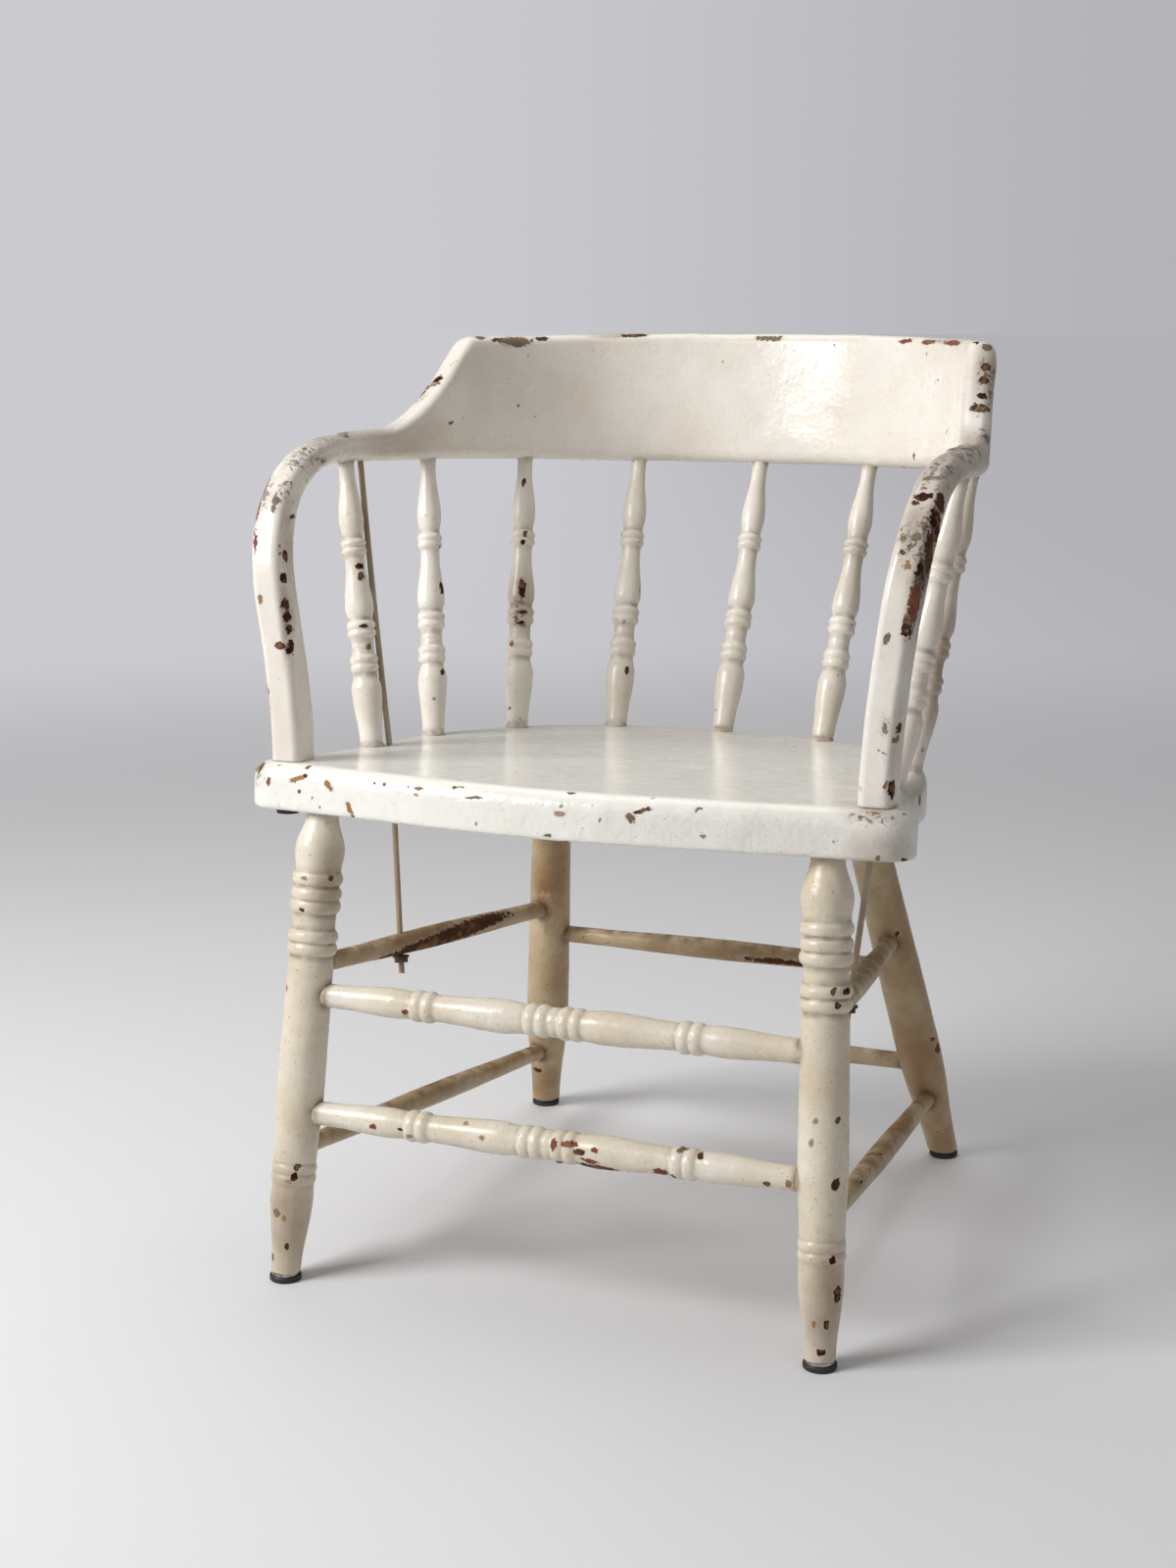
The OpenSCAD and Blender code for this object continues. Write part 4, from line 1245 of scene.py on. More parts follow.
@dataclass
class Spindles:
    """Nine turned spindles between the seat and the rail."""

    layout: Layout
    lathe: Lathe
    swell: float = 26
    foot: float = 20
    top: float = 14
    socket: float = 14

    def outline(self, length: float) -> Silhouette:
        """Returns a spindle's silhouette, with the paint's fillet where it stands on the seat."""
        f, s, t = self.foot / 2, self.swell / 2, self.top / 2
        neck, low = s - 4.2, s - 2.6
        made = Silhouette().to(-self.socket + 2, f - 0.6).to(-1.5, f - 0.6).to(-1.4, f + 1.4)
        made.to(0.4, f + 1.0).to(1.8, f - 0.4)
        made.swell(4, f, 0.20 * length, s + 0.4, 20).swell(0.20 * length, s + 0.4, 0.258 * length, low)
        made.pair(0.289 * length, 0.029 * length, low, s - 0.4).bead(
            0.352 * length, 0.012 * length, neck + 0.6, neck + 1.2
        )
        made.pair(0.410 * length, 0.029 * length, low, s - 0.2).swell(
            0.442 * length, low, 0.48 * length, s - 0.3, 8
        )
        made.swell(0.48 * length, s - 0.3, 0.64 * length, neck, 20).to(0.665 * length, neck)
        made.pair(0.698 * length, 0.027 * length, neck, s - 1.5).swell(
            0.73 * length, neck + 0.4, 0.79 * length, s - 1.9
        )
        made.swell(0.79 * length, s - 1.9, 0.95 * length, t, 20).to(0.95 * length, t).to(length - 1.5, t).to(
            length - 0.4, t + 0.8
        )
        return made.to(length + 1.2, t + 0.8).to(length + 1.3, t).to(length + self.socket - 2, t)

    def build(self, paint: bpy.types.Material) -> None:
        """Makes the nine spindles.

        Args:
            paint: Their paint.
        """
        for number in range(1, 10):
            p, q = self.layout.spindle(number)
            shift = self.layout.shift()
            length = (q - p).length
            made = self.lathe.turn(
                f"turned_spindle_{number}", self.outline(length), p + shift, q + shift, paint,
                ends=(1.0, length - 1.0), sides=40, uneven=0.3, seed=number * 3.7,
            )
            finish_piece(made, [f"spindle_{number}"])

    def sticks(self) -> list[Stick]:
        """Returns the spindles as sticks, for the dirt where they meet the seat and the rail."""
        shift = self.layout.shift()
        found = []
        for number in range(1, 10):
            p, q = self.layout.spindle(number)
            found.append(Stick(p + shift, p + (q - p) * 0.5 + shift, self.foot / 2))
            found.append(Stick(p + (q - p) * 0.5 + shift, q + shift, self.top / 2))
        return found


@dataclass
class Stretchers:
    """Two turned stretchers in front, and six plain ones with a slight swell."""

    layout: Layout
    lathe: Lathe
    end_d: float = 20
    swell_d: float = 28
    plain_end_d: float = 16
    plain_mid_d: float = 20
    socket: float = 13
    front_leg_d: float = 40
    back_leg_d: float = 41
    front_heights: tuple[float, float] = (243, 144)
    back_heights: tuple[float, float] = (200, 100)
    side_upper: tuple[float, float] = (266, 228)
    side_lower: tuple[float, float] = (111, 65)

    def stop(self, front: bool) -> float:
        """Returns how far from a leg's axis a stretcher ends."""
        return (self.front_leg_d if front else self.back_leg_d) / 2 - self.socket

    def lines(self) -> dict[str, tuple[bool, int, float, bool, int, float]]:
        """Returns each stretcher's node with the leg and height at both of its ends."""
        made = {}
        for name, z in zip(("upper", "lower"), self.front_heights):
            made[f"stretcher_front_{name}"] = (True, LEFT, z, True, RIGHT, z)
        for name, z in zip(("upper", "lower"), self.back_heights):
            made[f"stretcher_back_{name}"] = (False, LEFT, z, False, RIGHT, z)
        for side, word in ((LEFT, "left"), (RIGHT, "right")):
            for name, (a, b) in (("upper", self.side_upper), ("lower", self.side_lower)):
                made[f"stretcher_{word}_{name}"] = (True, side, a, False, side, b)
        return made

    def ends(self, name: str) -> tuple[Vector, Vector]:
        """Returns where a stretcher's line meets the axes of its two legs."""
        f0, s0, z0, f1, s1, z1 = self.lines()[name]
        shift = self.layout.shift()
        return self.layout.on_leg(f0, s0, z0) + shift, self.layout.on_leg(f1, s1, z1) + shift

    def sticks(self, front: bool, side: int) -> list[Stick]:
        """Returns the stretchers that go into one leg."""
        found = []
        for name, (f0, s0, _, f1, s1, _) in self.lines().items():
            if (f0, s0) == (front, side) or (f1, s1) == (front, side):
                p, q = self.ends(name)
                turned = name.startswith("stretcher_front")
                found.append(Stick(p, q, (self.end_d if turned else self.plain_end_d) / 2))
        return found

    def front_outline(self, length: float) -> Silhouette:
        """Returns a turned stretcher's silhouette from leg axis to leg axis."""
        h, stop = length / 2, self.stop(True)
        e, s = self.end_d / 2, self.swell_d / 2
        half = Silhouette().to(0, s - 1.6).to(4.5, s - 2).pair(15, 10, s - 2.6, s - 0.2)
        half.swell(26, s - 1.6, 44, s, 8).swell(44, s, 104, e + 1.4, 16).pair(117, 10, e + 1.2, e + 3.4)
        half.swell(128, e + 1.6, 144, e + 2.6, 8).swell(144, e + 2.6, h - stop - 22, e, 12)
        half.to(h - stop - 22, e).to(h - stop, e)
        points = half.points
        return Silhouette([(h - z, r) for z, r in points[:0:-1]] + [(h + z, r) for z, r in points])

    def plain_outline(self, length: float, front: bool, other: bool) -> Silhouette:
        """Returns a plain stretcher's silhouette, given which of its ends are in front legs."""
        start, end = self.stop(front), length - self.stop(other)
        e, m = self.plain_end_d / 2, self.plain_mid_d / 2
        made = Silhouette().to(start, e).swell(start + 22, e, length / 2, m, 16)
        return made.swell(length / 2, m, end - 22, e, 16).to(end - 22, e).to(end, e)

    def build(self, front_paint: bpy.types.Material, plain_paint: bpy.types.Material) -> None:
        """Makes the eight stretchers.

        Args:
            front_paint: Paint of the two in front.
            plain_paint: Paint of the rest.
        """
        for number, (name, (f0, _, _, f1, _, _)) in enumerate(self.lines().items()):
            p, q = self.ends(name)
            turned = name.startswith("stretcher_front")
            length = (q - p).length
            outline = self.front_outline(length) if turned else self.plain_outline(length, f0, f1)
            ends = (
                (self.front_leg_d if f0 else self.back_leg_d) / 2,
                length - (self.front_leg_d if f1 else self.back_leg_d) / 2,
            )
            made = self.lathe.turn(
                name.replace("stretcher", "turned_stretcher"), outline, p, q,
                front_paint if turned else plain_paint,
                ends=ends, sides=40, uneven=0.45, seed=40 + number * 2.3,
            )
            finish_piece(made, [name])


@dataclass
class Legs:
    """Two turned front legs and two plain back legs, all splayed."""

    layout: Layout
    lathe: Lathe
    stretchers: Stretchers
    top_d: float = 27
    socket: float = 24
    front_end: float = 12.3
    back_end: float = 13.8
    sawn_at: float = 7.5

    def front_outline(self, length: float) -> Silhouette:
        """Returns a front leg's silhouette from the floor to inside the seat."""
        s, t = self.stretchers.front_leg_d / 2, self.top_d / 2
        made = Silhouette().to(self.sawn_at - 1, self.front_end)
        made.swell(self.sawn_at, self.front_end + 0.1, 0.185 * length, s - 1.8, 18).to(
            0.185 * length, s - 1.8
        ).to(0.210 * length, s - 2.4)
        made.pair(0.233 * length, 0.022 * length, s - 3, s - 0.8).swell(
            0.256 * length, s - 1.8, 0.40 * length, s, 12
        )
        made.swell(0.40 * length, s, 0.69 * length, s - 0.8, 16).pair(
            0.724 * length, 0.026 * length, s - 2.2, s + 1.1
        )
        made.to(0.752 * length, s - 2.2).to(0.785 * length, s - 2.2).pair(
            0.814 * length, 0.026 * length, s - 1.6, s + 1.3
        )
        made.to(0.842 * length, s - 1.8).bead(
            0.858 * length, 0.026 * length, s - 1.8, s + 1.3
        ).to(0.873 * length, s - 1)
        made.swell(0.876 * length, s - 1, 0.915 * length, s + 0.8, 10).swell(
            0.915 * length, s + 0.8, 0.992 * length, t, 14
        )
        return made.to(0.992 * length, t).to(length + self.socket - 2, t)

    def back_outline(self, length: float) -> Silhouette:
        """Returns a back leg's silhouette from the floor to inside the seat."""
        s, t = self.stretchers.back_leg_d / 2, self.top_d / 2
        made = Silhouette().to(self.sawn_at - 1, self.back_end).swell(
            self.sawn_at, self.back_end + 0.1, 0.30 * length, s, 20
        )
        made.swell(0.30 * length, s, 0.97 * length, s - 2.2, 20).to(
            0.97 * length, s - 2.2
        ).to(length - 3, s - 2.8)
        return made.to(length - 2.9, t).to(length + self.socket - 2, t)

    def build(self, front_paint: bpy.types.Material, back_paint: bpy.types.Material) -> None:
        """Makes the four legs.

        Args:
            front_paint: Paint of the front legs.
            back_paint: Paint of the back legs.
        """
        shift = self.layout.shift()
        for front, end in ((True, "front"), (False, "back")):
            for side, word in ((LEFT, "left"), (RIGHT, "right")):
                p, q = self.layout.leg(front, side)
                length = (q - p).length
                made = self.lathe.turn(
                    f"turned_leg_{end}_{word}",
                    self.front_outline(length) if front else self.back_outline(length),
                    p + shift, q + shift, front_paint if front else back_paint,
                    sticks=self.stretchers.sticks(front, side), ends=(length,), sides=52, uneven=0.4,
                    seed=70 + 3.1 * side + 9 * front,
                )
                # The foot is sawn level, so its end is pressed flat onto the glide.
                for vertex in made.data.vertices:
                    vertex.co.z = max(vertex.co.z, self.sawn_at * MM)
                finish_piece(made, [f"leg_{end}_{word}"])

    def sticks(self) -> list[Stick]:
        """Returns the legs as sticks, for the dirt where they meet the seat."""
        shift = self.layout.shift()
        found = []
        for front in (True, False):
            for side in SIDES:
                p, q = self.layout.leg(front, side)
                found.append(Stick(p + shift, q + shift, self.top_d / 2))
        return found


# ---------------------------------------------------------------- iron


class RodBender:
    """Sweeps a round bar along a guide line with Geometry Nodes."""

    def __init__(self) -> None:
        """Builds the node tree."""
        sockets = (
            ("Guide", "NodeSocketGeometry", None),
            ("Radius", "NodeSocketFloat", 2.5 * MM),
            ("Sides", "NodeSocketInt", 16),
            ("Material", "NodeSocketMaterial", None),
        )
        self.tree, self.ids = open_tree("bent_bar", sockets)
        t = self.tree
        given = add(t, "NodeGroupInput").outputs
        curve = add(t, "GeometryNodeMeshToCurve", {0: given["Guide"]})
        ring = add(
            t, "GeometryNodeCurvePrimitiveCircle", {"Resolution": given["Sides"], "Radius": given["Radius"]}
        )
        bar = add(t, "GeometryNodeCurveToMesh", {"Curve": curve, "Profile Curve": ring, "Fill Caps": True})
        bar = add(t, "GeometryNodeMergeByDistance", {"Geometry": bar, "Distance": 0.002 * MM})
        bar = add(t, "GeometryNodeSetShadeSmooth", {"Geometry": bar})
        bar = add(t, "GeometryNodeRealizeInstances", {"Geometry": bar})
        bar = add(t, "GeometryNodeSetMaterial", {"Geometry": bar, "Material": given["Material"]})
        add(t, "NodeGroupOutput", {0: bar})

    def sweep(
        self, name: str, line: Sequence[Vector], radius: float, material: bpy.types.Material
    ) -> bpy.types.Object:
        """Makes a bar.

        Args:
            name: The piece's name.
            line: Its centre line, in mm, in the frame.
            radius: Its radius, in mm.
            material: Its material.

        Returns:
            The piece, with its place in its mesh.
        """
        guide_mesh = bpy.data.meshes.new(name)
        guide_mesh.from_pydata([tuple(p * MM) for p in line], [(i, i + 1) for i in range(len(line) - 1)], [])
        guide = bpy.data.objects.new(name, guide_mesh)
        bpy.context.scene.collection.objects.link(guide)
        bender = guide.modifiers.new("bent_bar", "NODES")
        bender.node_group = self.tree
        bender[self.ids["Radius"]] = radius * MM
        bender[self.ids["Material"]] = material
        mesh = bpy.data.meshes.new_from_object(guide.evaluated_get(bpy.context.evaluated_depsgraph_get()))
        guide.modifiers.remove(bender)
        guide.data = mesh
        bpy.data.meshes.remove(guide_mesh)
        mesh.name = name
        if not mesh.materials:
            mesh.materials.append(material)
        return guide


@dataclass
class BraceRods:
    """Two iron rods from the side stretchers through the seat into the arms, painted with the rest."""

    layout: Layout
    spindles: Spindles
    stretchers: Stretchers
    diameter: float = 5
    along: float = 0.34
    bow: float = 2.0

    def path(self, side: int) -> list[Vector]:
        """Returns a rod's centre line from under its stretcher, through the seat, into the arm."""
        lay, shift = self.layout, self.layout.shift()
        a, b = self.stretchers.ends("stretcher_left_upper" if side == LEFT else "stretcher_right_upper")
        low = a.lerp(b, self.along)
        foot, head = lay.spindle(9)
        y = foot.y + 9
        knee = Vector((side * (foot.x - 15), y, lay.seat_z(y) - lay.seat_thick / 2)) + shift
        y = head.y + 21
        top = Vector((side * (head.x - 3), y, lay.rail_under(y) + 6)) + shift
        end = low - (knee - low).normalized() * (self.stretchers.plain_mid_d / 2 + 16)
        line = [end.lerp(knee, u) for u in np.linspace(0, 1, 24)[:-1]]
        for u in np.linspace(0, 1, 40):
            line.append(knee.lerp(top, u) + Vector((0, -1, 0)) * self.bow * math.sin(math.pi * u))
        return line

    def build(self, bender: RodBender, paint: bpy.types.Material) -> None:
        """Makes both rods.

        Args:
            bender: The tool that sweeps them.
            paint: Their paint.
        """
        for side, word in ((LEFT, "left"), (RIGHT, "right")):
            made = bender.sweep(f"bent_brace_rod_{word}", self.path(side), self.diameter / 2 + 0.15, paint)
            finish_piece(made, [f"brace_rod_{word}"])

    def sticks(self) -> list[Stick]:
        """Returns the rods as sticks, for the dirt where they pass through the seat and into the arms."""
        return [Stick(p[0], p[23], self.diameter / 2) for p in map(self.path, SIDES)] + [
            Stick(p[23], p[-1], self.diameter / 2) for p in map(self.path, SIDES)
        ]


def dress_fittings(iron: bpy.types.Material, steel: bpy.types.Material, rubber: bpy.types.Material) -> None:
    """Gives the CAD's own nuts, bolts, discs and glides their real materials.

    Args:
        iron: Material of the nuts and bolts.
        steel: Material of the glide cups and nails.
        rubber: Material of the discs and glide pads.
    """
    for material, names in (
        (iron, ("brace_nuts", "arm_bolts")),
        (steel, ("glide_cups", "glide_nails")),
        (rubber, ("arm_bolt_disc", "glide_pads")),
    ):
        for name in names:
            node = frame["nodes"][name]
            node.data.materials.clear()
            node.data.materials.append(material)
            log.info("%s: %s", name, material.name)


# ---------------------------------------------------------------- studio


@dataclass(frozen=True)
class Studio:
    """A plain pale floor that runs into a plain pale ground, soft lamps, and the camera."""

    ground: str = "cbcbcf"
    # the ground far to the right, darker as painted shade
    ground_shaded_right: str = "b3b2b7"
    floor: str = "dedee0"
    camera_at: Point = (748.6, -2016.5, 837.1)
    azimuth: float = 22.142
    pitch: float = 11.7
    roll: float = -0.187
    lens: float = 56.986

    def build(self) -> None:
        """Makes the floor, the world, the lamps and the camera."""
        self._floor()
        self._world()
        self._lamp("key", (-1.6, -1.65, 1.8), 1.15, 65)
        self._lamp("fill", (2.1, -1.2, 1.5), 1.6, 2.5)
        self._lamp("top", (-0.2, 0.7, 2.6), 1.9, 21)
        self._camera()

    def _floor(self) -> None:
        """Makes the floor: lit near the chair, and far from it the ground's colour with its painted shade."""
        made, t, place = blank_material("painted_floor_matt")
        away = add(t, "ShaderNodeVectorMath", {0: place}, operation="LENGTH").outputs["Value"]
        far = add(
            t,
            "ShaderNodeMapRange",
            {0: away, 1: 1.1, 2: 3.6, 3: 0.0, 4: 1.0},
            interpolation_type="SMOOTHSTEP",
        )
        seen = add(t, "ShaderNodeLightPath").outputs["Is Camera Ray"]
        fade = add(t, "ShaderNodeMath", {0: far, 1: seen}, operation="MULTIPLY")
        matt = add(t, "ShaderNodeBsdfDiffuse", {"Color": linear(self.floor)})
        plain = add(t, "ShaderNodeEmission", {"Color": self._ground(t, place, 1.6), "Strength": 1.0})
        both = add(t, "ShaderNodeMixShader", {0: fade, 1: matt, 2: plain})
        add(t, "ShaderNodeOutputMaterial", {"Surface": both})
        mesh = bpy.data.meshes.new("floor")
        mesh.from_pydata(
            [(x, y, 0.0) for x, y in ((-30, -30), (30, -30), (30, 30), (-30, 30))], [], [(0, 1, 2, 3)]
        )
        mesh.materials.append(made)
        floor = bpy.data.objects.new("floor", mesh)
        bpy.context.scene.collection.objects.link(floor)

    def _ground(
        self, t: bpy.types.NodeTree, where: bpy.types.NodeSocket, reach: float
    ) -> bpy.types.NodeSocket:
        """Makes the ground's colour, with painted shade that darkens it a little to the right.

        Args:
            t: The node tree to add to.
            where: Socket with a place on the floor or a direction in the world.
            reach: How far to either side of the camera's line the fall-off runs.

        Returns:
            The colour socket.
        """
        a = math.radians(self.azimuth)
        side = add(
            t, "ShaderNodeVectorMath", {0: where, 1: (math.cos(a), math.sin(a), 0.0)}, operation="DOT_PRODUCT"
        ).outputs["Value"]
        # painted shade: the ground darkens towards the right
        right = add(
            t,
            "ShaderNodeMapRange",
            {0: side, 1: -reach * 0.4, 2: reach, 3: 0.0, 4: 1.0},
            interpolation_type="SMOOTHSTEP",
        )
        return add(
            t,
            "ShaderNodeMix",
            {0: right, 6: linear(self.ground), 7: linear(self.ground_shaded_right)},
            data_type="RGBA",
        ).outputs[2]

    def _world(self) -> None:
        """Makes the world: the ground's colour to the eye and in reflections, and a soft light."""
        world = bpy.data.worlds.new("studio")
        bpy.context.scene.world = world
        world.use_nodes = True
        t = world.node_tree
        t.nodes.clear()
        path = add(t, "ShaderNodeLightPath").outputs
        seen = add(
            t,
            "ShaderNodeMath",
            {0: path["Is Camera Ray"], 1: path["Is Transmission Ray"]},
            operation="MAXIMUM",
        )
        way = add(t, "ShaderNodeTexCoord").outputs["Generated"]
        shown = add(t, "ShaderNodeBackground", {"Color": self._ground(t, way, 0.26), "Strength": 1.0})
        light = add(t, "ShaderNodeBackground", {"Color": linear("dddbd9"), "Strength": 0.32})
        both = add(t, "ShaderNodeMixShader", {0: seen, 1: light, 2: shown})
        add(t, "ShaderNodeOutputWorld", {"Surface": both})

    def _lamp(self, name: str, at: Point, size: float, power: float) -> None:
        """Makes a soft square lamp that looks at the chair's middle.

        Args:
            name: The lamp's name.
            at: Its place, in metres.
            size: Its side, in metres.
            power: Its power, in watts.
        """
        data = bpy.data.lights.new(name, "AREA")
        data.shape, data.size, data.energy = "SQUARE", size, power
        lamp = bpy.data.objects.new(name, data)
        lamp.location = at
        lamp.rotation_euler = (Vector((0, 0, 0.4)) - Vector(at)).to_track_quat("-Z", "Y").to_euler()
        bpy.context.scene.collection.objects.link(lamp)

    def _camera(self) -> None:
        """Makes the camera."""
        data = bpy.data.cameras.new("camera")
        data.sensor_width, data.lens = 36, self.lens
        data.clip_start, data.clip_end = 0.05, 100
        camera = bpy.data.objects.new("camera", data)
        camera.location = Vector(self.camera_at) * MM
        turn = Matrix.Rotation(math.radians(self.azimuth), 4, "Z") @ Matrix.Rotation(
            math.radians(90 - self.pitch), 4, "X"
        )
        turn = turn @ Matrix.Rotation(math.radians(self.roll), 4, "Z")
        camera.rotation_euler = turn.to_euler()
        bpy.context.scene.collection.objects.link(camera)
        bpy.context.scene.camera = camera


# ---------------------------------------------------------------- where the paint is damaged or dirty, and where shade is painted on


# The places of these breaks are in mm in the frame. Many were worked out by a separate program, and they
# don't follow a changed chair.
SEAT_CHIPS = (
    # the right ear and the right side are darkened: some dirt, and painted shade on the side turned from the
    # light
    Chip((262, -236, 436), 70, 14, Coat.GRIME_AND_SHADE, deep=50),
    Chip((268, -240, 404), 60, 40, Coat.GRIME_AND_SHADE, deep=50),
    Chip((255, -60, 418), 60, 60, Coat.GRIME_AND_SHADE, deep=260),
    Chip((240, -200, 437), 60, 8, Coat.GRIME_AND_SHADE, deep=60),
    # the left ear's corner: bare wood in strips, with dirt between
    Chip((-277, -229, 431), 7, 11, Coat.WOOD, lean=10),
    Chip((-273, -232, 429), 3, 14, Coat.BROWN, lean=16),
    Chip((-281, -221, 427), 4, 9, Coat.RED),
    Chip((-272, -233, 424), 20, 26, Coat.SCUFF),
    Chip((-261, -242, 421), 4, 7, Coat.RED),
    Chip((-255, -238, 434), 6, 2.5, Coat.BROWN, lean=-20),
    Chip((-226, -238, 435), 4, 3, Coat.BROWN),
    Chip((-232, -246, 426), 17, 5, Coat.WOOD, lean=-20),
    Chip((-226, -246, 429), 5, 4, Coat.BROWN),
    Chip((-201, -250, 424), 12, 5.5, Coat.WOOD, lean=42),
    Chip((-179, -256, 406), 4.5, 14, Coat.WOOD, lean=-28),
    Chip((-176, -257, 401), 6, 2.5, Coat.BROWN),
    Chip((-230, -247, 415), 3, 4, Coat.RED),
    Chip((-156, -257, 430), 4, 2.5, Coat.BROWN),
    Chip((-146, -258, 430), 4, 3.5, Coat.OLIVE),
    Chip((-122, -262, 430), 3, 2, Coat.BROWN),
    Chip((-113, -263, 430), 9, 1.6, Coat.OLIVE),
    Chip((-114, -265, 425), 4, 3, Coat.WORN),
    Chip((-78, -263, 434), 12, 1.8, Coat.BROWN, deep=5),
    Chip((-60, -266, 428), 16, 2, Coat.OLIVE),
    Chip((20, -262, 437), 9, 2, Coat.BROWN, deep=5),
    Chip((15, -274, 421), 9, 5.5, Coat.WORN),
    Chip((5, -275, 404), 8, 2.6, Coat.OLIVE),
    Chip((18, -274, 399), 7, 3, Coat.BROWN),
    Chip((73, -270, 422), 7, 9, Coat.OLIVE, lean=-30),
    Chip((82, -268, 428), 17, 3.4, Coat.BROWN, lean=-13),
    Chip((130, -262, 411), 4, 3, Coat.WORN),
    Chip((166, -249, 436), 6, 2, Coat.BROWN, deep=5),
    # the right ear: ochre wood in front of the post's foot, and scrapes along the edge
    Chip((259, -236, 435), 20, 4.5, Coat.WOOD, deep=9),
    Chip((262, -237, 434), 7, 2, Coat.VARNISH, deep=5),
    Chip((279, -225, 433), 5, 4, Coat.BROWN),
    Chip((283, -213, 431), 4, 3, Coat.BROWN),
    Chip((258, -240, 430), 50, 12, Coat.SCUFF),
    Chip((263, -243, 401), 4, 4, Coat.OLIVE),
    Chip((281, -232, 397), 5, 5, Coat.BROWN),
    # a shrinkage crack and scratches on top
    Chip((105, 62, 419), 96, 1.5, Coat.BROWN, turn=9, deep=1.0),
    Chip((168, -66, 426), 15, 3, Coat.RED, turn=-12, deep=0.8),
    Chip((60, -120, 430), 5, 3, Coat.RED, turn=20, deep=1.4),
    Chip((-60, -190, 434), 6, 3, Coat.BROWN, deep=1.4),
    Chip((-110, -40, 425), 3, 3, Coat.BROWN, deep=2.0),
    Chip((-180, -90, 428), 3, 3, Coat.BROWN, deep=2.0),
    # the back and the underside of the rim
    Chip((-180, 120, 410), 9, 7, Coat.BROWN, turn=60),
    Chip((90, 168, 398), 16, 4, Coat.WOOD),
    Chip((-40, 176, 404), 8, 8, Coat.WORN),
    Chip((248, -60, 408), 7, 9, Coat.WOOD),
    Chip((-250, -40, 404), 8, 6, Coat.BROWN),
)

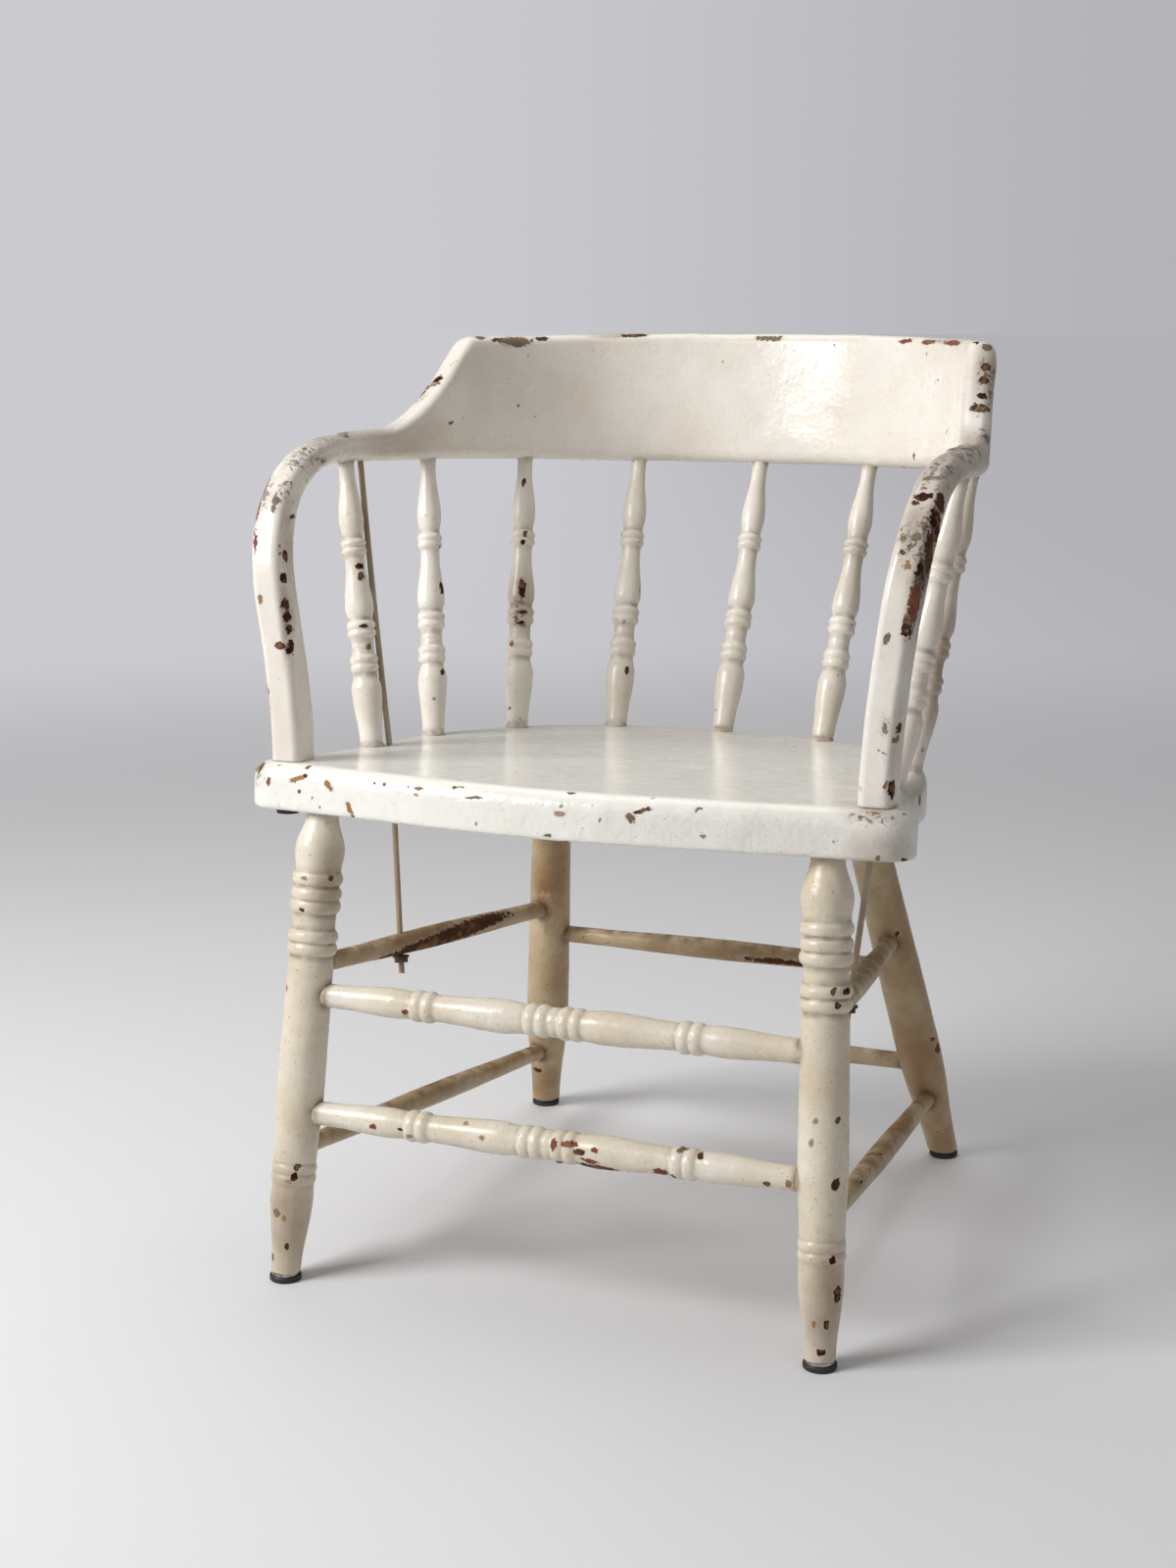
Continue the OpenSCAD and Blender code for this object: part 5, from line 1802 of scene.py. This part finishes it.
RAIL_CHIPS = (
    # hands have dirtied both arms, the bends' inner sides and the crest's ends; on the right arm, the crest's
    # right end and the left arm's underside this darkening is also painted shade, on sides turned from the
    # light
    Chip((-262, -130, 700), 80, 30, Coat.GRIME_AND_SHADE, deep=230),
    Chip((-248, -60, 692), 40, 60, Coat.GRIME_AND_SHADE, deep=260),
    Chip((-240, -70, 676), 34, 16, Coat.STAIN_AND_SHADE, deep=200),
    Chip((-245, -200, 640), 26, 160, Coat.GRIME_AND_SHADE, deep=90),
    Chip((275, -150, 690), 90, 80, Coat.GRIME_AND_SHADE, deep=220),
    Chip((276, -40, 700), 80, 40, Coat.GRIME_AND_SHADE, deep=240),
    Chip((280, -195, 640), 60, 110, Coat.GRIME_AND_SHADE, deep=60),
    Chip((288, -200, 600), 34, 240, Coat.GRIME_AND_SHADE, deep=90),
    Chip((276, -222, 470), 20, 120, Coat.GRIME_AND_SHADE, deep=60),
    Chip((284, -150, 694), 70, 40, Coat.SCUFF, deep=90),
    Chip((286, -90, 700), 60, 36, Coat.SCUFF, deep=90),
    Chip((-250, -190, 650), 22, 90, Coat.STAIN_AND_SHADE, deep=60),
    Chip((-252, -140, 680), 22, 30, Coat.STAIN_AND_SHADE, deep=110),
    Chip((262, 90, 740), 40, 120, Coat.GRIME_AND_SHADE, deep=110),
    Chip((-208, 161, 772), 34, 11, Coat.OLIVE, turn=54, deep=12),
    Chip((-219, 146, 774), 16, 6, Coat.BROWN, turn=56, deep=8),
    Chip((-192, 184, 774), 16, 5, Coat.BROWN, turn=50, deep=8),
    Chip((-253, 80, 739), 9, 9, Coat.VARNISH),
    Chip((-256, 77, 734), 5, 5, Coat.WOOD),
    Chip((-264, 70, 727), 10, 6, Coat.RED),
    Chip((-261, 72, 732), 6, 5, Coat.VARNISH),
    Chip((-264, 62, 720), 22, 30, Coat.SCUFF),
    Chip((-256, 78, 738), 18, 26, Coat.SCUFF),
    Chip((-238, 77, 699), 3, 3, Coat.BROWN),
    Chip((-233, 131, 775), 12, 4, Coat.OLIVE, turn=60),
    Chip((-140, 235, 775), 60, 7, Coat.STAIN_AND_SHADE, turn=36, deep=9),
    Chip((-122, 246, 775), 30, 5, Coat.BROWN, turn=30, deep=7),
    Chip((-170, 205, 777), 9, 3, Coat.BROWN, turn=40, deep=4),
    Chip((-60, 268, 777), 14, 2.5, Coat.STAIN_AND_SHADE, turn=14, deep=4),
    Chip((6, 270, 773), 24, 6, Coat.OLIVE, deep=9),
    Chip((13, 270, 773), 10, 5, Coat.BROWN, deep=8),
    Chip((-5, 270, 773), 6, 4, Coat.BROWN, deep=8),
    Chip((90, 256, 776), 12, 2.5, Coat.BROWN, turn=-18, deep=3),
    Chip((151, 222, 773), 18, 5, Coat.RED, turn=-35, deep=8),
    Chip((178, 198, 773), 26, 5, Coat.RED, turn=-45, deep=8),
    Chip((212, 160, 773), 40, 5, Coat.RED, turn=-54, deep=8),
    Chip((200, 176, 776), 80, 10, Coat.SCUFF, turn=-48, deep=14),
    Chip((241, 117, 775), 8, 3, Coat.BROWN),
    # the crest's right end
    Chip((255, 102, 755), 9, 8, Coat.BROWN),
    Chip((262, 100, 756), 7, 12, Coat.OLIVE),
    Chip((257, 89, 744), 10, 6, Coat.BROWN),
    Chip((263, 88, 747), 5, 6, Coat.WOOD),
    Chip((259, 73, 732), 10, 6, Coat.VARNISH),
    Chip((260, 60, 722), 17, 8, Coat.VARNISH),
    Chip((256, 60, 723), 6, 9, Coat.BROWN),
    Chip((268, 62, 722), 8, 5, Coat.BROWN),
    Chip((251, 120, 770), 8, 9, Coat.OLIVE),
    Chip((262, 105, 766), 10, 5, Coat.BROWN),
    Chip((258, 95, 750), 26, 60, Coat.SCUFF, deep=50),
    Chip((268, 80, 738), 16, 60, Coat.SCUFF, deep=40),
    Chip((172, 180, 672), 3.4, 9, Coat.RED),
    Chip((154, 206, 658), 9, 3, Coat.RED),
    # left arm: red along its outer edge, fine scrapes on the bend, and breaks down its front's inner edge
    Chip((-287, -186, 662), 7, 30, Coat.RED, lean=-8, deep=24),
    Chip((-285, -199, 640), 6, 34, Coat.RED, lean=-12, deep=20),
    Chip((-279, -213, 612), 5, 30, Coat.RED, lean=-14, deep=14),
    Chip((-284, -202, 628), 4, 12, Coat.VARNISH, lean=-12, deep=14),
    Chip((-284, -196, 640), 20, 100, Coat.SCUFF, deep=40),
    Chip((-268, -160, 685), 30, 40, Coat.SCUFF, deep=90),
    Chip((-262, -120, 700), 44, 26, Coat.SCUFF, deep=130),
    Chip((-248, -60, 694), 16, 14, Coat.SCUFF, deep=60),
    Chip((-268, -192, 652), 18, 34, Coat.SCUFF, deep=40),
    Chip((-258, -200, 620), 10, 150, Coat.STAIN_AND_SHADE, deep=30),
    Chip((-257, -208, 606), 6, 10, Coat.VARNISH),
    Chip((-262, -190, 636), 5, 6, Coat.BROWN),
    Chip((-264, -186, 648), 4, 5, Coat.OLIVE),
    Chip((-256, -216, 588), 6, 9, Coat.VARNISH),
    Chip((-254, -218, 566), 6, 12, Coat.BROWN, lean=8),
    Chip((-252, -218, 557), 5, 12, Coat.VARNISH),
    Chip((-250, -219, 546), 4, 8, Coat.VARNISH),
    Chip((-255, -224, 533), 10, 6, Coat.BROWN),
    Chip((-249, -220, 530), 5, 17, Coat.VARNISH, lean=8),
    Chip((-252, -218, 560), 7, 110, Coat.STAIN_AND_SHADE, deep=24),
    Chip((-272, -227, 571), 4, 8, Coat.WOOD),
    Chip((-268, -226, 456), 4, 12, Coat.WOOD),
    Chip((-268, -226, 478), 8, 46, Coat.SCUFF),
    # right arm: grey scrapes over the bend, the big break, the dark right edge and the foot
    Chip((278, -168, 688), 40, 44, Coat.SCUFF, deep=110),
    Chip((272, -130, 702), 60, 26, Coat.SCUFF, deep=120),
    Chip((280, -60, 700), 50, 22, Coat.SCUFF, deep=160),
    Chip((278, 20, 700), 30, 18, Coat.SCUFF, deep=60),
    Chip((275, -178, 668), 15, 7, Coat.VARNISH),
    Chip((271, -183, 663), 8, 5, Coat.BROWN),
    Chip((288, -176, 664), 8, 18, Coat.BROWN, deep=16),
    Chip((288, -188, 648), 11, 30, Coat.VARNISH, deep=20),
    Chip((286, -200, 628), 9, 34, Coat.BROWN, lean=6, deep=20),
    Chip((283, -211, 610), 10, 34, Coat.VARNISH, lean=9, deep=20),
    Chip((280, -217, 592), 8, 36, Coat.RED, lean=8, deep=18),
    Chip((277, -221, 577), 8, 22, Coat.VARNISH, lean=6, deep=16),
    Chip((277, -204, 640), 8, 7, Coat.OLIVE),
    Chip((284, -200, 630), 22, 150, Coat.SCUFF, deep=60),
    Chip((278, -205, 640), 34, 50, Coat.SCUFF, deep=40),
    Chip((269, -209, 629), 9, 6, Coat.BROWN),
    Chip((274, -213, 620), 7, 9, Coat.WOOD, lean=25),
    Chip((268, -206, 640), 5, 5, Coat.OLIVE),
    Chip((262, -227, 566), 5, 9, Coat.OLIVE, lean=20),
    Chip((271, -217, 497), 8, 9, Coat.BROWN),
    Chip((269, -219, 489), 7, 6, Coat.WOOD),
    Chip((267, -220, 450), 7, 15, Coat.VARNISH),
    Chip((263, -222, 454), 4, 9, Coat.WOOD),
    Chip((243, -225, 450), 4, 6, Coat.STAIN_AND_SHADE),
    Chip((262, -226, 500), 9, 20, Coat.SCUFF),
    Chip((270, -222, 640), 26, 50, Coat.SCUFF),
    # the outside of the back
    Chip((-150, 262, 700), 9, 6, Coat.BROWN),
    Chip((60, 292, 690), 7, 5, Coat.WORN),
    Chip((130, 276, 722), 5, 9, Coat.RED),
    Chip((-30, 296, 664), 22, 3, Coat.WOOD),
    Chip((210, 196, 684), 6, 7, Coat.BROWN),
)

SPINDLE_CHIPS = (
    # spindles 8 and 9, behind the right arm, are darkened by grime and stain that are partly painted shade
    # from the arm and the side turned from the light; the back spindles have darker patches too
    Chip((250, -20, 570), 60, 300, Coat.GRIME_AND_SHADE, deep=110),
    Chip((250, -10, 560), 34, 260, Coat.STAIN_AND_SHADE, deep=90),
    Chip((240, 70, 570), 50, 300, Coat.GRIME_AND_SHADE, deep=90),
    Chip((240, 70, 560), 42, 280, Coat.STAIN_AND_SHADE, deep=84),
    Chip((-80, 190, 570), 40, 190, Coat.GRIME_AND_SHADE, deep=60),
    Chip((-186, 117, 530), 34, 90, Coat.GRIME_AND_SHADE, deep=40),
    Chip((120, 180, 600), 60, 150, Coat.GRIME_AND_SHADE, deep=60),
    Chip((-249, -86, 578), 7, 14, Coat.BROWN, lean=22),
    Chip((-253, -84, 584), 6, 6, Coat.VARNISH),
    Chip((-245, -95, 533), 9, 3.4, Coat.BROWN),
    Chip((-240, -96, 515), 6, 7, Coat.OLIVE),
    Chip((-236, -98, 478), 4, 5, Coat.BROWN),
    Chip((-232, 42, 598), 4, 8, Coat.VARNISH),
    Chip((-232, 39, 588), 4, 6, Coat.VARNISH),
    Chip((-228, 31, 556), 3.5, 22, Coat.BROWN),
    Chip((-218, 9, 479), 3.5, 6, Coat.BROWN),
    Chip((-198, 151, 640), 3.5, 9, Coat.VARNISH),
    Chip((-190, 133, 593), 4, 6, Coat.BROWN),
    Chip((-191, 131, 585), 4, 5, Coat.VARNISH),
    Chip((-186, 117, 543), 6, 21, Coat.VARNISH),
    Chip((-188, 117, 548), 4, 12, Coat.WOOD),
    Chip((-183, 111, 522), 8, 4, Coat.BROWN),
    Chip((-184, 109, 512), 7, 4, Coat.VARNISH),
    Chip((-190, 100, 493), 5, 6, Coat.WOOD),
    Chip((-187, 112, 520), 16, 60, Coat.SCUFF, deep=16),
    Chip((-95, 155, 465), 3, 8, Coat.BROWN),
    Chip((-92, 172, 560), 3, 5, Coat.RED),
    Chip((142, 148, 612), 4, 12, Coat.OLIVE),
    Chip((232, -6, 520), 3, 5, Coat.BROWN),
    Chip((236, 14, 560), 3, 5, Coat.BROWN),
)

FRONT_LEG_CHIPS = (
    # the front right leg is darkened all down its right side, which is painted shade on the side turned from
    # the light; the feet and the top of the left leg are dirty
    Chip((262, -262, 220), 30, 400, Coat.GRIME_AND_SHADE, deep=70),
    Chip((242, -288, 50), 44, 120, Coat.GRIME_AND_SHADE, deep=44),
    Chip((-235, -288, 60), 44, 110, Coat.GRIME_AND_SHADE, deep=44),
    Chip((-205, -250, 340), 26, 90, Coat.GRIME_AND_SHADE, deep=50),
    Chip((-221, -284, 102), 6, 6, Coat.BROWN),
    Chip((-223, -286, 94), 5, 8, Coat.VARNISH),
    Chip((-227, -288, 90), 6, 4, Coat.WORN),
    Chip((-248, -284, 70), 5, 6, Coat.WORN),
    Chip((-238, -291, 61), 8, 8, Coat.OLIVE),
    Chip((-230, -291, 58), 4, 6, Coat.WOOD),
    Chip((-229, -291, 33), 4, 6, Coat.BROWN),
    Chip((-245, -290, 21), 5, 6, Coat.RED),
    Chip((-223, -256, 344), 6, 4, Coat.WORN),
    Chip((-203, -244, 344), 4, 6, Coat.BROWN),
    Chip((-224, -259, 318), 6, 3, Coat.BROWN),
    Chip((-239, -262, 250), 4, 6, Coat.WORN),
    Chip((244, -275, 149), 6, 10, Coat.BROWN),
    Chip((249, -282, 63), 5, 14, Coat.VARNISH),
    Chip((245, -285, 91), 5, 9, Coat.VARNISH),
    Chip((227, -275, 198), 4, 5, Coat.WORN),
    Chip((243, -268, 198), 4, 7, Coat.BROWN),
    Chip((225, -277, 180), 4, 7, Coat.WORN),
    Chip((239, -292, 17), 7, 6, Coat.VARNISH),
    Chip((243, -290, 39), 5, 8, Coat.VARNISH),
    Chip((233, -292, 39), 4, 6, Coat.WOOD),
    Chip((243, -250, 296), 5, 7, Coat.VARNISH),
    Chip((235, -258, 298), 4, 6, Coat.BROWN),
    Chip((238, -257, 286), 4, 6, Coat.VARNISH),
)

FRONT_STRETCHER_CHIPS = (
    Chip((-154, -275, 143), 6, 5, Coat.RED),
    Chip((-129, -274, 143), 5, 3, Coat.BROWN),
    Chip((-121, -275, 139), 5, 4, Coat.WORN),
    Chip((-71, -270, 155), 6, 3, Coat.WORN),
    Chip((-54, -276, 147), 5, 4, Coat.WORN),
    Chip((22, -274, 151), 14, 5, Coat.RED),
    Chip((30, -275, 146), 10, 5, Coat.BROWN),
    Chip((8, -275, 150), 6, 10, Coat.RED),
    Chip((44, -275, 149), 6, 4, Coat.RED),
    Chip((46, -271, 134), 34, 6, Coat.BROWN, lean=3),
    Chip((40, -274, 140), 16, 4, Coat.RED, lean=6),
    Chip((99, -271, 137), 12, 8, Coat.RED),
    Chip((110, -272, 135), 6, 4, Coat.RED),
    Chip((131, -267, 154), 6, 4, Coat.BROWN),
    Chip((116, -265, 156), 8, 3, Coat.OLIVE),
    Chip((188, -272, 140), 6, 5, Coat.BROWN),
    Chip((205, -271, 143), 6, 7, Coat.WOOD),
    Chip((12, -271, 133), 6, 4, Coat.OLIVE),
    Chip((-130, -259, 240), 6, 5, Coat.RED),
)

BACK_CHIPS = (
    # the left upper stretcher is dark brown below, partly stain and partly painted shade on its side turned
    # into the chair, and the others brown towards their back ends
    Chip((-193, -60, 250), 34, 30, Coat.STAIN_AND_SHADE, turn=-8, deep=360),
    Chip((-189, -60, 245), 24, 16, Coat.BROWN, turn=-8, deep=300),
    Chip((-203, 110, 82), 26, 24, Coat.STAIN_AND_SHADE, turn=-5, deep=130),
    Chip((216, 0, 90), 34, 26, Coat.STAIN_AND_SHADE, turn=5, deep=380),
    Chip((196, 20, 250), 30, 24, Coat.STAIN_AND_SHADE, turn=7, deep=300),
    Chip((30, 146, 198), 230, 18, Coat.STAIN_AND_SHADE, deep=26),
    Chip((64, 142, 196), 90, 9, Coat.BROWN, deep=16),
    # both back legs are stained at the foot and round their stretchers, the right one all over
    Chip((-206, 194, 34), 60, 60, Coat.STAIN_AND_SHADE, deep=60),
    Chip((-200, 184, 66), 50, 30, Coat.STAIN_AND_SHADE, deep=50),
    Chip((-160, 118, 262), 44, 60, Coat.STAIN_AND_SHADE, deep=44),
    Chip((-205, 188, 44), 10, 5, Coat.BROWN),
    Chip((-196, 180, 78), 12, 5, Coat.BROWN),
    Chip((-170, 130, 205), 5, 16, Coat.STAIN_AND_SHADE),
    Chip((190, 150, 170), 60, 420, Coat.STAIN_AND_SHADE, deep=110),
    Chip((214, 196, 26), 60, 60, Coat.STAIN_AND_SHADE, deep=60),
    Chip((210, 178, 119), 7, 9, Coat.RED),
    Chip((206, 172, 130), 5, 4, Coat.RED),
    Chip((204, 160, 88), 16, 6, Coat.BROWN),
    Chip((211, 190, 30), 12, 5, Coat.BROWN),
    Chip((182, 124, 240), 5, 7, Coat.BROWN),
    # red and brown breaks along the right lower stretcher
    Chip((231, -150, 106), 5, 4, Coat.VARNISH),
    Chip((228, -110, 104), 5, 4, Coat.VARNISH),
    Chip((224, -64, 101), 6, 5, Coat.BROWN),
    Chip((219, -20, 98), 6, 5, Coat.VARNISH),
    Chip((212, 50, 92), 5, 5, Coat.BROWN),
    # the back, which nobody sees from the front, in the same manner
    Chip((-190, 190, 220), 5, 30, Coat.BROWN),
    Chip((170, 150, 330), 6, 7, Coat.WORN),
    Chip((-120, 190, 100), 14, 4, Coat.BROWN),
    Chip((90, 190, 100), 9, 5, Coat.WORN),
)


def main() -> None:
    """Builds the studio, the finishes and the chair, in that order."""
    logging.basicConfig(level=logging.INFO, format="%(message)s")
    scene = bpy.context.scene
    scene.view_settings.view_transform = "Standard"
    Studio().build()

    layout = Layout()
    lathe = Lathe()
    spindles = Spindles(layout, lathe)
    stretchers = Stretchers(layout, lathe)
    legs = Legs(layout, lathe, stretchers)
    rods = BraceRods(layout, spindles, stretchers)

    seat_paint = GlossPaint(
        "oil_gloss_paint_seat",
        SEAT_CHIPS,
        top="eeece5",
        aged="e2dacc",
        yellowing=0.3,
        grime=0.55,
        flaking=0.08,
        rubbing=0.2,
        shine=0.16,
        lumpy=1.9,
    )
    rail_paint = GlossPaint(
        "oil_gloss_paint_rail",
        RAIL_CHIPS,
        top="ece7df",
        aged="d8cab8",
        yellowing=0.55,
        grime=0.6,
        flaking=0.12,
        rubbing=0.3,
    )
    spindle_paint = GlossPaint(
        "oil_gloss_paint_spindles",
        SPINDLE_CHIPS,
        top="ebe6dc",
        aged="d0c2ad",
        yellowing=0.6,
        grime=0.75,
        flaking=0.2,
        rubbing=0.12,
    )
    leg_paint = GlossPaint(
        "oil_gloss_paint_front_legs",
        FRONT_LEG_CHIPS,
        top="e4dccc",
        aged="c0ac8c",
        yellowing=0.7,
        grime=0.9,
        flaking=0.4,
        rubbing=0.2,
        shine=0.3,
        lumpy=1.3,
    )
    rung_paint = GlossPaint(
        "oil_gloss_paint_front_stretchers",
        FRONT_STRETCHER_CHIPS,
        top="e4ddd0",
        aged="cbb998",
        yellowing=0.7,
        grime=0.9,
        flaking=0.6,
        rubbing=0.25,
        shine=0.27,
        lumpy=1.3,
    )
    back_paint = GlossPaint(
        "oil_gloss_paint_yellowed",
        BACK_CHIPS,
        top="c9b694",
        aged="987a50",
        dirt="4a2e18",
        yellowing=1.0,
        grime=1.0,
        dust=0.6,
        flaking=0.35,
        rubbing=0.1,
        shine=0.36,
        lumpy=1.3,
    )
    rod_paint = GlossPaint(
        "oil_gloss_paint_on_iron",
        top="b3a58f",
        aged="85694c",
        dirt="553a28",
        yellowing=1.0,
        grime=0.9,
        flaking=1.4,
        rubbing=0.0,
    )

    Seat(layout, sticks=spindles.sticks() + rods.sticks() + legs.sticks()).build(seat_paint.build())
    Rail(layout, sticks=spindles.sticks() + rods.sticks()).build(rail_paint.build())
    spindles.build(spindle_paint.build())
    legs.build(leg_paint.build(), back_paint.build())
    stretchers.build(rung_paint.build(), bpy.data.materials[back_paint.name])
    rods.build(RodBender(), rod_paint.build())
    dress_fittings(RustyIron().build(), WornSteel().build(), OldRubber().build())


if __name__ == "__main__":
    main()
